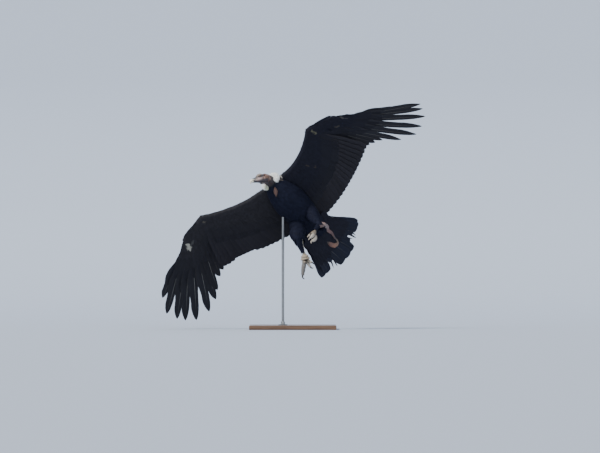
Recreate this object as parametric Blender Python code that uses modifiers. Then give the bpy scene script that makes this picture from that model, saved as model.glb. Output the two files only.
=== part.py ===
import math

import bmesh
import bpy
from mathutils import Euler, Matrix, Vector

# Andean condor, adult male, banking with both legs hanging, on a plain display stand.
# Sizes are in metres. The bird is built level in its own frame: +X to the bill, +Y to its
# left and +Z to its back, with the origin in the middle of the trunk. One empty then banks it.

GAP = 0.0003

# How the bird is held: nose up, left wing up, turned on the stand.
NOSE_UP = math.radians(38.6)
BANK = math.radians(53.4)
HEADING = math.radians(217.4)
TRUNK_PLACE = Vector((0.030, 0.030, 0.860))

# Stand
BASE_SIZE = Vector((0.62, 0.52, 0.030))
BASE_ROUNDING = 0.004
ROD_PLACE = Vector((-0.070, -0.046, 0))
ROD_RADIUS = 0.009
FLANGE_RADIUS = 0.034
FLANGE_HEIGHT = 0.012

# Trunk, as stations from the neck to the tail: place along X, half width, height above and
# depth below the axis.
TRUNK = (
    (0.300, 0.047, 0.044, 0.050),
    (0.262, 0.068, 0.060, 0.074),
    (0.185, 0.098, 0.082, 0.108),
    (0.085, 0.116, 0.094, 0.126),
    (-0.030, 0.110, 0.090, 0.118),
    (-0.130, 0.092, 0.072, 0.090),
    (-0.215, 0.074, 0.052, 0.062),
    (-0.262, 0.062, 0.036, 0.042),
)

# Wings. Every pose value is for one wing, in the bird's frame, with Y counted outwards.
SHOULDER = Vector((0.100, 0.070, 0.050))
LEFT_WING = {
    "name": "wing_left",
    "side": 1,
    "wrist": Vector((0.392, 0.450, 0.050)),
    "elbow_back": 0.115,
    "lead_sag": 0.053,
    "hand_bearing": math.radians(-10),
    "tip_bearings": (31.9, 4.6, -0.12),
    "finger_twist": math.radians(-28),
    "primary_reach": (0.440, 0.470, 0.507, 0.560, 0.690, 0.794, 0.827, 0.848, 0.831, 0.819),
    "trail": (Vector((0.000, 0.680)), Vector((-0.158, 0.390)), Vector((-0.215, 0.050))),
}
RIGHT_WING = {
    "name": "wing_right",
    "side": -1,
    "wrist": Vector((0.382, 0.561, 0.065)),
    "elbow_back": 0.060,
    "lead_sag": 0.035,
    "hand_bearing": math.radians(-15),
    "tip_bearings": (26.5, 6.1, -0.10),
    "finger_twist": math.radians(-8),
    "primary_reach": (0.415, 0.455, 0.530, 0.673, 0.767, 0.826, 0.826, 0.820, 0.791, 0.674),
    "trail": (Vector((-0.005, 0.680)), Vector((-0.070, 0.405)), Vector((-0.178, 0.060))),
}
HAND_LENGTH = 0.220
PRIMARIES = 10
SECONDARIES = 12
TERTIALS = 5
TIP_RISE = 0.075
TRAIL_HEIGHT = 0.036

# Feathers: web widths in front of and behind the shaft at each share of the length, the
# thickness of the webs and of the shaft, and how far neighbours are tipped to lie like tiles.
WEB_THICKNESS = 0.0007
SHAFT_THICKNESS = 0.0018
TILING = math.radians(7)
PRIMARY_WEBS = (
    (0.00, 0.004, 0.004),
    (0.20, 0.008, 0.012),
    (0.40, 0.019, 0.046),
    (0.56, 0.019, 0.042),
    (0.66, 0.021, 0.027),
    (0.84, 0.019, 0.027),
    (0.96, 0.007, 0.012),
)
SECONDARY_WEBS = (
    (0.00, 0.004, 0.006),
    (0.25, 0.012, 0.026),
    (0.65, 0.016, 0.036),
    (0.96, 0.011, 0.027),
)
TAIL_WEBS = (
    (0.00, 0.004, 0.004),
    (0.30, 0.010, 0.013),
    (0.60, 0.024, 0.026),
    (0.95, 0.023, 0.028),
)
COVERT_WEBS = (
    (0.00, 0.004, 0.006),
    (0.45, 0.011, 0.022),
    (0.90, 0.008, 0.018),
)
# Tiers of coverts: how far in front of the feather's root they start, their height over it,
# their length as a share of the feather's, their width and how many feathers one stands for.
UPPER_COVERTS = ((0.022, 0.0060, 0.36, 1.0, 1),)
LOWER_COVERTS = ((0.026, -0.0100, 0.34, 1.0, 1), (0.050, -0.0155, 0.25, 1.5, 2))
HAND_SHEET = 0.17

# Tail: a fan that opens from a point inside the trunk. Each feather has its bearing from the
# fan's axis in degrees and its reach from that point; the gaps are feathers lost in moult.
TAIL_CENTRE = Vector((0.028, -0.028, -0.043))
TAIL_YAW = math.radians(4)
TAIL_ROLL = math.radians(22)
TAIL_PITCH = math.radians(9)
TAIL_FAN = (
    (24.4, 0.570),
    (21.8, 0.590),
    (19.0, 0.586),
    (16.4, 0.572),
    (12.6, 0.545),
    (8.0, 0.590),
    (5.4, 0.634),
    (0.8, 0.636),
    (-4.6, 0.632),
    (-9.6, 0.540),
    (-16.6, 0.585),
    (-23.4, 0.590),
)
TAIL_QUILLS = 0.308
TAIL_GATHER = 0.64
TAIL_COVERTS = (1, 3, 5, 6, 8, 10)

# Head and neck
HEAD_PLACE = Vector((0.389, -0.018, -0.045))
HEAD_FORWARD = Vector((0.534, -0.843, -0.009))
HEAD_UP = Vector((0.434, 0.266, 0.861))
NECK_RADIUS = 0.041
RUFF_RADIUS = 0.072

# The skull, as stations along its axis: half width, height above and depth below.
HEAD = (
    (0.0420, 0.0170, 0.0200, 0.0180),
    (0.0280, 0.0215, 0.0250, 0.0230),
    (0.0100, 0.0270, 0.0300, 0.0285),
    (-0.0100, 0.0300, 0.0340, 0.0330),
    (-0.0300, 0.0280, 0.0320, 0.0330),
    (-0.0440, 0.0190, 0.0210, 0.0240),
    (-0.0520, 0.0080, 0.0090, 0.0100),
)
# The bill's centre line as places along and above, with its half width and half height.
BILL_TOP = (
    (0.0423, 0.0100, 0.0160, 0.0090),
    (0.0560, 0.0080, 0.0135, 0.0087),
    (0.0700, 0.0068, 0.0115, 0.0084),
    (0.0820, 0.0036, 0.0110, 0.0090),
    (0.0905, -0.0040, 0.0085, 0.0082),
    (0.0935, -0.0140, 0.0055, 0.0055),
    (0.0935, -0.0240, 0.0020, 0.0022),
)
BILL_BOTTOM = (
    (0.0423, -0.0088, 0.0150, 0.0082),
    (0.0600, -0.0082, 0.0115, 0.0058),
    (0.0740, -0.0098, 0.0090, 0.0048),
    (0.0810, -0.0116, 0.0050, 0.0030),
)
# Folds of one side of the face, as places along and above, with the thickness of each.
FACE_FOLDS = (
    ("brow", 0.0030, ((0.0240, 0.0150), (0.0160, 0.0215), (0.0060, 0.0215), (-0.0010, 0.0150))),
    ("lip", 0.0024, ((0.0400, -0.0030), (0.0270, -0.0056), (0.0110, -0.0100))),
    ("cheek", 0.0030, ((0.0040, 0.0000), (0.0000, -0.0100), (0.0060, -0.0200), (0.0160, -0.0235))),
    ("cheek", 0.0034, ((-0.0080, 0.0000), (-0.0130, -0.0110), (-0.0080, -0.0230), (0.0020, -0.0280))),
    ("nape", 0.0034, ((-0.0280, 0.0170), (-0.0370, 0.0060), (-0.0360, -0.0080), (-0.0260, -0.0210))),
)

# Legs: knee, heel and foot of each, the way its sole faces, and for each toe the way it leaves
# the foot, its length, its bend at each joint in degrees and the length of its claw.
LEGS = {
    "left": {
        "knee": Vector((-0.045, 0.062, -0.060)),
        "heel": Vector((-0.100, 0.075, -0.215)),
        "foot": Vector((-0.061, 0.010, -0.320)),
        "sole": Vector((0.22, -0.66, -0.70)),
        "toes": (
            ("middle", Vector((-0.71, 0.05, -0.66)), 0.078, 27, 0.026),
            ("inner", Vector((0.30, 0.10, -0.95)), 0.055, 27, 0.028),
            ("outer", Vector((-0.95, 0.10, -0.10)), 0.056, 27, 0.022),
            ("hind", Vector((0.30, -0.90, 0.25)), 0.030, 10, 0.020),
        ),
    },
    "right": {
        "knee": Vector((-0.045, -0.062, -0.060)),
        "heel": Vector((-0.083, -0.094, -0.250)),
        "foot": Vector((-0.183, -0.155, -0.300)),
        "sole": Vector((-0.90, 0.10, -0.30)),
        "toes": (
            ("middle", Vector((-0.46, -0.73, -0.51)), 0.112, 4, 0.034),
            ("inner", Vector((-0.06, 0.30, -0.96)), 0.060, 16, 0.030),
            ("outer", Vector((-0.70, 0.11, -0.71)), 0.068, 8, 0.028),
            ("hind", Vector((-0.84, -0.17, 0.49)), 0.030, 12, 0.022),
        ),
    },
}

COLOURS = {
    "plumage": ((0.012, 0.013, 0.017), 0.6, 0.0),
    "down": ((0.85, 0.85, 0.82), 0.9, 0.0),
    "skin": ((0.25, 0.11, 0.085), 0.6, 0.0),
    "comb": ((0.10, 0.06, 0.06), 0.6, 0.0),
    "horn": ((0.72, 0.68, 0.58), 0.4, 0.0),
    "eye": ((0.12, 0.05, 0.02), 0.1, 0.0),
    "leg": ((0.62, 0.57, 0.52), 0.7, 0.0),
    "claw": ((0.06, 0.05, 0.05), 0.4, 0.0),
    "base": ((0.10, 0.065, 0.045), 0.5, 0.0),
    "steel": ((0.07, 0.07, 0.075), 0.4, 0.9),
}


def clear_scene():
    for old in list(bpy.data.objects):
        bpy.data.objects.remove(old)


def material(slot):
    """The Principled material of one slot, made the first time it is asked for."""
    made = bpy.data.materials.get(slot)
    if made is None:
        colour, roughness, metallic = COLOURS[slot]
        made = bpy.data.materials.new(slot)
        made.use_nodes = True
        shader = made.node_tree.nodes["Principled BSDF"]
        shader.inputs["Base Color"].default_value = (*colour, 1)
        shader.inputs["Roughness"].default_value = roughness
        shader.inputs["Metallic"].default_value = metallic
    return made


def collection(name):
    found = bpy.data.collections.get(name)
    if found is None:
        found = bpy.data.collections.new(name)
        bpy.context.scene.collection.children.link(found)
    return found


def mesh_object(name, mesh, group="pieces"):
    """A new object from a bmesh, with its faces turned outwards."""
    bmesh.ops.recalc_face_normals(mesh, faces=mesh.faces)
    data = bpy.data.meshes.new(name)
    mesh.to_mesh(data)
    mesh.free()
    made = bpy.data.objects.new(name, data)
    collection(group).objects.link(made)
    return made


def bridge(mesh, first, second):
    """Triangles between two rings. The far half turns its diagonals, so that a thin blade is
    split alike on both faces."""
    if len(second) == 1:
        first, second = second, first
    count = len(second)
    for i in range(count):
        j = (i + 1) % count
        if len(first) == 1:
            mesh.faces.new((first[0], second[j], second[i]))
        elif i < count // 2:
            mesh.faces.new((first[i], first[j], second[j]))
            mesh.faces.new((first[i], second[j], second[i]))
        else:
            mesh.faces.new((first[i], first[j], second[i]))
            mesh.faces.new((first[j], second[j], second[i]))


def loft(name, rings, group="pieces"):
    """One closed body through rings of points. A ring of one point is a tip."""
    mesh = bmesh.new()
    rows = [[mesh.verts.new(point) for point in ring] for ring in rings]
    for first, second in zip(rows, rows[1:]):
        bridge(mesh, first, second)
    for row in (rows[0], rows[-1]):
        if len(row) > 1:
            mesh.faces.new(row)
    bmesh.ops.triangulate(mesh, faces=[f for f in mesh.faces if len(f.verts) > 3])
    return mesh_object(name, mesh, group)


def smooth_step(stations, place):
    """The values at one place, read smoothly from stations whose first value falls."""
    for before, after in zip(stations, stations[1:]):
        if place >= after[0]:
            break
    share = (before[0] - place) / (before[0] - after[0])
    share = min(1.0, max(0.0, share))
    return [a + (b - a) * share for a, b in zip(before[1:], after[1:])]


def evaluated_mesh(made):
    graph = bpy.context.evaluated_depsgraph_get()
    return bpy.data.meshes.new_from_object(made.evaluated_get(graph))


def apply_modifiers(made):
    bpy.context.view_layer.update()
    data = evaluated_mesh(made)
    made.modifiers.clear()
    made.data = data
    return made


def keep_largest(made):
    """Drops every closed surface but the largest, such as a scrap that a cut leaves."""
    mesh = bmesh.new()
    mesh.from_mesh(made.data)
    left = set(mesh.faces)
    bodies = []
    while left:
        body = [left.pop()]
        for face in body:
            for edge in face.edges:
                for other in edge.link_faces:
                    if other in left:
                        left.remove(other)
                        body.append(other)
        bodies.append(body)
    bodies.sort(key=lambda body: sum(face.calc_area() for face in body))
    for body in bodies[:-1]:
        bmesh.ops.delete(mesh, geom=body, context="FACES")
    loose = [v for v in mesh.verts if not v.link_faces]
    bmesh.ops.delete(mesh, geom=loose, context="VERTS")
    mesh.to_mesh(made.data)
    mesh.free()
    return made


def fuse(made, pieces, solver="MANIFOLD"):
    """Joins the pieces to the object with one Boolean union, and removes them."""
    group = bpy.data.collections.new("fused")
    bpy.context.scene.collection.children.link(group)
    for piece in pieces:
        collection("pieces").objects.unlink(piece)
        group.objects.link(piece)
    union = made.modifiers.new("union", "BOOLEAN")
    union.operation = "UNION"
    union.operand_type = "COLLECTION"
    union.collection = group
    union.solver = solver
    apply_modifiers(made)
    for piece in pieces:
        bpy.data.objects.remove(piece)
    bpy.data.collections.remove(group)
    return keep_largest(made)


def cut(made, cutter, solver="MANIFOLD"):
    """Takes a cutter's shape out of the object, and keeps the largest piece."""
    difference = made.modifiers.new("cut", "BOOLEAN")
    difference.operation = "DIFFERENCE"
    difference.object = cutter
    difference.solver = solver
    apply_modifiers(made)
    return keep_largest(made)


def half_space(point, normal, reach=3.0):
    """A cutter that fills all that lies beyond a plane."""
    mesh = bmesh.new()
    bmesh.ops.create_cube(mesh, size=1)
    bmesh.ops.scale(mesh, vec=(reach, reach, reach), verts=mesh.verts)
    bmesh.ops.translate(mesh, vec=(0, 0, reach / 2), verts=mesh.verts)
    made = mesh_object("beyond", mesh, "cutters")
    turned = normal.to_track_quat("Z", "Y").to_matrix().to_4x4()
    made.matrix_world = Matrix.Translation(point) @ turned
    made.hide_render = True
    made.display_type = "WIRE"
    return made


def trim(made, point, normal):
    """Cuts the object off at a plane, half a gap short of it."""
    bpy.context.view_layer.update()
    cutter = half_space(point - normal.normalized() * GAP / 2, normal)
    bpy.context.view_layer.update()
    cut(made, cutter)
    bpy.data.objects.remove(cutter)
    return made


def node(made, name, slot):
    """Makes a finished object one node of the bird, with its material."""
    made.name = name
    made.data.name = name
    made.data.materials.clear()
    made.data.materials.append(material(slot))
    for group in list(made.users_collection):
        group.objects.unlink(made)
    collection("andean_condor").objects.link(made)
    return made


def frame_of(along, up):
    """Unit vectors along, to the left of it and up, from a direction and a rough up."""
    along = along.normalized()
    left = up.cross(along).normalized()
    return along, left, along.cross(left)


def ring(centre, left, up, wide, high, deep, sides):
    """An egg-shaped ring: half width, height above and depth below its centre."""
    points = []
    for i in range(sides):
        angle = 2 * math.pi * i / sides
        tall = high if math.sin(angle) > 0 else deep
        points.append(centre + left * wide * math.cos(angle) + up * tall * math.sin(angle))
    return points


def sweep(name, places, sizes, up, sides=8, group="pieces"):
    """A limb of egg-shaped section: for each place its half width and half height."""
    rings = []
    for i, place in enumerate(places):
        before, after = places[max(i - 1, 0)], places[min(i + 1, len(places) - 1)]
        _, left, top = frame_of(after - before, up)
        wide, tall = sizes[i]
        rings.append(ring(place, left, top, wide, tall, tall, sides))
    return loft(name, rings, group)


def tube(name, places, radii, up, sides=8, group="pieces"):
    """A round limb through several places, each with its own radius."""
    return sweep(name, places, [(radius, radius) for radius in radii], up, sides, group)


def web_ring(centre, lead, up, front, back, shaft):
    """A feather's section: webs that meet at a thicker shaft, or a flat plate with no shaft."""
    thin = up * WEB_THICKNESS / 2
    thick = up * shaft / 2
    sag = up * 0.06 if shaft else up * 0
    ahead = centre + (lead - sag) * front
    behind = centre - (lead + sag) * back
    if not shaft:
        return [ahead + thin, behind + thin, behind - thin, ahead - thin]
    over = [ahead + thin, centre + thick, behind + thin]
    return over + [behind - thin, centre - thick, ahead - thin]


def feather(root, tip, lead, webs, tilt, twist=0.0, droop=0.0, scale=1.0, shaft=SHAFT_THICKNESS):
    """One feather. Its leading edge is lifted by the tilt, and its free end turned by the twist."""
    span = tip - root
    along = span.normalized()
    up = along.cross(lead).normalized()
    if up.z < 0:
        up = -up
    lead = (lead - along * lead.dot(along)).normalized()
    rings = []
    for share, front, back in webs:
        turn = tilt + twist * min(1.0, max(0.0, (share - 0.45) / 0.25))
        leaning = lead * math.cos(turn) + up * math.sin(turn)
        normal = up * math.cos(turn) - lead * math.sin(turn)
        centre = root + span * share - up * droop * 4 * share * (1 - share)
        slender = shaft * (1 - 0.5 * share)
        rings.append(web_ring(centre, leaning, normal, front * scale, back * scale, slender))
    rings.append([tip])
    return loft("feather", rings)


def trunk_ring(place, grow=0.0, sides=16):
    wide, high, deep = smooth_step(TRUNK, place)
    centre = Vector((place, 0, 0))
    across, up = Vector((0, 1, 0)), Vector((0, 0, 1))
    return ring(centre, across, up, wide + grow, high + grow, deep + grow, sides)


def trunk(name, grow=0.0, group="pieces"):
    """The trunk from neck to tail root. Grown a little, it is the cutter for what meets it."""
    front, back = TRUNK[0][0] + grow, TRUNK[-1][0] - grow
    steps = 11
    places = [front + (back - front) * i / steps for i in range(steps + 1)]
    return loft(name, [trunk_ring(place, grow) for place in places], group)


def outwards(wing, x, y, z):
    return Vector((x, wing["side"] * y, z))


def blend(a, b, share):
    return a + (b - a) * share


def wing_bones(wing):
    """Shoulder, elbow, wrist and hand tip of one wing, with Y counted outwards."""
    wrist = wing["wrist"]
    reach = wrist - SHOULDER
    back = Vector((-reach.y, reach.x, 0)).normalized()
    elbow = SHOULDER + reach * 0.46 + back * wing["elbow_back"]
    bearing = wing["hand_bearing"]
    hand = Vector((math.sin(bearing), math.cos(bearing), 0.02))
    return SHOULDER, elbow, wrist, wrist + hand * HAND_LENGTH, hand


def quadratic(a, b, c, share):
    return a * (1 - share) ** 2 + b * 2 * share * (1 - share) + c * share**2


def flight_feathers(wing):
    """Root and tip of every flight feather, from the innermost tertial to the tenth primary."""
    shoulder, elbow, wrist, hand_tip, _ = wing_bones(wing)
    feathers = []
    inner = SECONDARIES + TERTIALS
    for i in range(inner):
        share = (i + 1) / inner
        if i < TERTIALS:
            root = blend(shoulder, elbow, (i + 1.2) / (TERTIALS + 0.6))
        else:
            root = blend(elbow, wrist, (i - TERTIALS + 0.5) / SECONDARIES)
        flat = quadratic(*wing["trail"], 1 - share * inner / (inner + 0.6))
        feathers.append((root, Vector((flat.x, flat.y, TRAIL_HEIGHT)), 0.004))
    first, step, bend = wing["tip_bearings"]
    for i, reach in enumerate(wing["primary_reach"]):
        root = blend(wrist, hand_tip, (i + 0.7) / PRIMARIES)
        inwards = PRIMARIES - 1 - i
        bearing = math.radians(first + step * inwards + bend * inwards**2)
        rise = TIP_RISE * (reach / 0.85) ** 2
        tip = wrist + Vector((-math.sin(bearing) * reach, math.cos(bearing) * reach, rise))
        feathers.append((root, tip, 0.016 * reach))
    return feathers


def bowed(feather_line, share):
    """A place along a feather, which hangs below the straight line from its root to its tip."""
    root, tip, droop = feather_line
    return blend(root, tip, share) - Vector((0, 0, droop * 4 * share * (1 - share)))


def leading_edge(wing, share):
    """The patagium's edge from the trunk to the wrist, hollow in the middle."""
    wrist = wing["wrist"]
    start = Vector((0.285, 0.050, 0.030))
    end = wrist + Vector((0.036, -0.004, 0))
    middle = (start + end) / 2 + Vector((-2 * wing["lead_sag"], 0, 0))
    return quadratic(start, middle, end, share)


def wing_section(wing, front, back, thick, tail_thick):
    """An aerofoil ring from the leading edge to where the feathers leave the flesh."""
    profile = ((0.0, 0.0), (0.07, 0.55), (0.28, 1.0), (0.62, 0.80))
    chord = back - front
    points = [front]
    for share, height in profile[1:]:
        points.append(front + chord * share + Vector((0, 0, thick * height / 2)))
    points.append(back + Vector((0, 0, tail_thick / 2)))
    points.append(back - Vector((0, 0, tail_thick / 2)))
    for share, height in profile[:0:-1]:
        points.append(front + chord * share - Vector((0, 0, thick * height / 2)))
    return [outwards(wing, *point) for point in points]


def arm_flesh(wing):
    shoulder, elbow, wrist, _, _ = wing_bones(wing)
    start = Vector((0.020, 0.050, 0.050))
    middle = elbow + Vector((-0.045, 0, 0))
    end = wrist + Vector((-0.050, 0.012, 0))
    control = middle * 2 - (start + end) / 2
    rings = []
    steps = 9
    for i in range(steps + 1):
        share = i / steps
        front = leading_edge(wing, share)
        back = quadratic(start, control, end, share)
        thick = 0.062 * (1 - share) + 0.036 * share
        rings.append(wing_section(wing, front, back, thick, 0.016))
    return loft("arm", rings)


def hand_flesh(wing):
    """The hand with the sheet of skin that holds the quills, thin at its outer edge."""
    feathers = flight_feathers(wing)[SECONDARIES + TERTIALS - 1:]
    _, _, _, _, hand = wing_bones(wing)
    forward = Vector((hand.y, -hand.x, 0)).normalized()
    up = Vector((0, 0, 1))
    rings = []
    last = len(feathers) - 1
    for i, line in enumerate(feathers):
        share = i / last
        root = line[0]
        front = root + forward * (0.040 * (1 - share) + 0.020 * share)
        far = bowed(line, HAND_SHEET * (1.0 + 0.45 * share))
        high = up * (0.017 * (1 - share) + 0.009 * share)
        edge = up * 0.0045
        corners = (front + edge, root + high, far + edge, far - edge, root - high, front - edge)
        rings.append([outwards(wing, *corner) for corner in corners])
    return loft("hand", rings)


def wing_feather(wing, root, tip, webs, tilt, twist=0.0, droop=0.0, scale=1.0, shaft=SHAFT_THICKNESS):
    """A feather given with Y counted outwards, made on its own side."""
    along = tip - root
    lead = Vector((along.y, -along.x, 0)).normalized()
    made = feather(root, tip, lead, webs, tilt, twist, droop, scale, shaft)
    if wing["side"] < 0:
        made.data.transform(Matrix.Scale(-1, 4, Vector((0, 1, 0))))
        made.data.flip_normals()
    return made


def tier(wing, feathers, tiers, tilt, inset, share):
    """Coverts that lie over or under each of these flight feathers, and bow with them."""
    pieces = []
    for forward, lift, length, scale, every in tiers:
        for line in feathers[::every]:
            span = (line[1] - line[0]).length
            start = bowed(line, inset - forward / span) + Vector((0, 0, lift * 0.5))
            end = bowed(line, inset + length * share) + Vector((0, 0, lift * 1.1))
            pieces.append(wing_feather(wing, start, end, COVERT_WEBS, tilt, 0.0, 0.0, scale, 0.0))
    return pieces


def wing_pieces(wing, first, last):
    """Flight feathers and coverts between two places in the wing's row."""
    feathers = flight_feathers(wing)[first:last]
    pieces = []
    if first < SECONDARIES + TERTIALS:
        for root, tip, droop in feathers:
            pieces.append(wing_feather(wing, root, tip, SECONDARY_WEBS, TILING, 0.0, droop, 1.0, 0.0))
        pieces += tier(wing, feathers, UPPER_COVERTS, TILING, 0.0, 0.90)
        pieces += tier(wing, feathers, LOWER_COVERTS, TILING, 0.0, 0.90)
    else:
        tilt = TILING * 1.2
        twist = wing["finger_twist"]
        for line in feathers:
            start = bowed(line, 0.06)
            scale = min(1.0, 0.55 + (line[1] - start).length * 0.55)
            sag = line[2] * 0.88
            pieces.append(wing_feather(wing, start, line[1], PRIMARY_WEBS, tilt, twist, sag, scale))
        pieces += tier(wing, feathers, UPPER_COVERTS, tilt, 0.14, 0.75)
        pieces += tier(wing, feathers, LOWER_COVERTS, tilt, 0.14, 0.75)
    return pieces


def parting(wing, feathers, place):
    """The upright plane between two neighbouring flight feathers, nearer to the inner one, whose
    web on this side is the narrow one."""
    inner_root, inner_tip, _ = feathers[place - 1]
    outer_root, outer_tip, _ = feathers[place]
    root = blend(inner_root, outer_root, 0.32)
    tip = blend(inner_tip, outer_tip, 0.32)
    run = root - tip
    normal = Vector((-run.y, run.x, 0)).normalized()
    if normal.y < 0:
        normal = -normal
    return outwards(wing, *root), outwards(wing, *normal)


def build_wing(wing, trunk_cutter):
    """One wing in three lengths, parted between feathers at the elbow and the wrist."""
    inner = SECONDARIES + TERTIALS
    feathers = flight_feathers(wing)
    elbow_place, elbow_out = parting(wing, feathers, TERTIALS)
    wrist_place, wrist_out = parting(wing, feathers, inner)
    arm = fuse(arm_flesh(wing), wing_pieces(wing, 0, TERTIALS))
    cut(arm, trunk_cutter)
    trim(arm, elbow_place, elbow_out)
    forearm = fuse(arm_flesh(wing), wing_pieces(wing, TERTIALS, inner))
    trim(forearm, elbow_place, -elbow_out)
    trim(forearm, wrist_place, wrist_out)
    alula = []
    _, _, wrist, _, hand = wing_bones(wing)
    forward = Vector((hand.y, -hand.x, 0)).normalized()
    for i in range(3):
        root = wrist + forward * (0.014 - 0.006 * i) + hand * 0.012 + Vector((0, 0, 0.006 * i - 0.004))
        tip = root + hand * (0.150 - 0.026 * i) + forward * (0.022 - 0.012 * i)
        tip += Vector((0, 0, 0.004 * i))
        alula.append(wing_feather(wing, root, tip, COVERT_WEBS, TILING, 0.0, 0.0, 0.8, 0.0))
    fingers = wing_pieces(wing, inner, inner + PRIMARIES)
    hand_part = fuse(arm_flesh(wing), [hand_flesh(wing)] + fingers + alula)
    trim(hand_part, wrist_place, -wrist_out)
    node(arm, wing["name"] + "_arm", "plumage")
    node(forearm, wing["name"] + "_forearm", "plumage")
    node(hand_part, wing["name"] + "_hand", "plumage")


def tail_frame():
    turned = Euler((TAIL_ROLL, TAIL_PITCH, -TAIL_YAW)).to_matrix().to_4x4()
    return Matrix.Translation(TAIL_CENTRE) @ turned


def build_tail():
    """The fan of tail feathers on the tail root's flesh."""
    place = tail_frame()
    start_cut = Vector((TRUNK[-1][0] - GAP / 2, 0, 0))
    _, wide, high, deep = TRUNK[-1]
    turned = place.to_3x3()
    left, up = turned @ Vector((0, 1, 0)), turned @ Vector((0, 0, 1))
    level = (Vector((0, 1, 0)), Vector((0, 0, 1)))
    rings = [ring(start_cut + Vector((0.004, 0, 0)), *level, wide, high, deep, 12)]
    for back, half, above, below in ((0.316, 0.080, 0.018, 0.022), (0.346, 0.082, 0.009, 0.012)):
        rings.append(ring(place @ Vector((-back, 0, 0)), left, up, half, above, below, 12))
    sheet = []
    feathers = []
    for i, (bearing, reach) in enumerate(TAIL_FAN):
        turn = math.radians(bearing)
        side = 1 if turn > 0 else -1
        rise = Vector((0, 0, 0.004 - 0.012 * abs(turn)))
        near = Vector((-TAIL_QUILLS, math.tan(turn) * TAIL_QUILLS * TAIL_GATHER, 0)) + rise
        far = Vector((-math.cos(turn), math.sin(turn), 0)) * reach + rise
        out = (far - near).normalized()
        lead = turned @ Vector((out.y, -out.x, 0)) * side
        feathers.append(feather(place @ near, place @ far, lead, TAIL_WEBS, -TILING, shaft=0.0))
        for lift, share in ((0.0085, 0.42), (-0.0100, 0.50)):
            if i in TAIL_COVERTS:
                over = Vector((0, 0, lift))
                start, end = place @ (near + over * 0.3), place @ (blend(near, far, share) + over)
                feathers.append(feather(start, end, lead, COVERT_WEBS, -TILING, scale=1.1, shaft=0.0))
        inner, outer = near - out * 0.026, blend(near, far, 0.26)
        thick, thin = Vector((0, 0, 0.0080)), Vector((0, 0, 0.0030))
        sheet.append([place @ p for p in (inner + thick, outer + thin, outer - thin, inner - thick)])
    tail = fuse(loft("tail", rings), [loft("sheet", sheet)] + feathers)
    node(trim(tail, start_cut, Vector((1, 0, 0))), "tail", "plumage")


def head_frame():
    along, left, up = frame_of(HEAD_FORWARD, HEAD_UP)
    turned = Matrix((along, left, up)).transposed().to_4x4()
    return Matrix.Translation(HEAD_PLACE) @ turned


def head_ring(place, grow=0.0, sides=12):
    wide, high, deep = smooth_step(HEAD, place)
    across, up = Vector((0, 1, 0)), Vector((0, 0, 1))
    return ring(Vector((place, 0, 0)), across, up, wide + grow, high + grow, deep + grow, sides)


def skull(name, grow=0.0, group="pieces"):
    frame = head_frame()
    front, back = HEAD[0][0] + grow, HEAD[-1][0] - grow
    steps = 8
    places = [front + (back - front) * i / steps for i in range(steps + 1)]
    return loft(name, [[frame @ p for p in head_ring(place, grow)] for place in places], group)


def bill(name, stations):
    frame = head_frame()
    places = [frame @ Vector((along, 0, above)) for along, above, _, _ in stations]
    sizes = [(wide, tall) for _, _, wide, tall in stations]
    return sweep(name, places, sizes, frame.to_3x3() @ Vector((0.3, 0, 1)), 10)


def loop(name, centre, across, high, wide, tall, thick, sides=4, steps=8):
    """A rounded rim about a place, such as a lid or an ear cup."""
    normal = across.cross(high).normalized()
    mesh = bmesh.new()
    rows = []
    for i in range(steps):
        angle = 2 * math.pi * i / steps
        out = across * wide * math.cos(angle) + high * tall * math.sin(angle)
        way = out.normalized()
        rows.append([
            mesh.verts.new(centre + out + way * thick * math.cos(turn) + normal * thick * math.sin(turn))
            for turn in (2 * math.pi * k / sides for k in range(sides))
        ])
    for first, second in zip(rows, rows[1:] + rows[:1]):
        bridge(mesh, first, second)
    return mesh_object(name, mesh)


def on_face(frame, side, along, above, out=0.0):
    """A place on the side of the face, a little out from the skull."""
    wide, high, deep = smooth_step(HEAD, along)
    tall = high if above > 0 else deep
    across = wide * math.sqrt(max(0.0, 1 - (above / tall) ** 2)) + out
    return frame @ Vector((along, side * across, above))


def face_folds(frame, side):
    """Lids, ear cup, mouth line and skin folds of one side of the face."""
    turned = frame.to_3x3()
    ahead, up = turned @ Vector((1, 0, 0)), turned @ Vector((0, 0, 1))
    out = turned @ Vector((0, side, 0))
    eye = frame @ Vector((0.0120, side * 0.0285, 0.0100))
    ear = on_face(frame, side, -0.0200, 0.0030, 0.0008)
    folds = [
        loop("lids", eye, ahead, up, 0.0088, 0.0078, 0.0022),
        loop("ear", ear, (ahead + up * 0.2).normalized(), up, 0.0070, 0.0085, 0.0028),
    ]
    for name, fat, line in FACE_FOLDS:
        places = [on_face(frame, side, along, above, fat * 0.1) for along, above in line]
        radii = [fat * 0.6] + [fat] * (len(line) - 2) + [fat * 0.6]
        folds.append(tube(name, places, radii, out, 4))
    return folds


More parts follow.
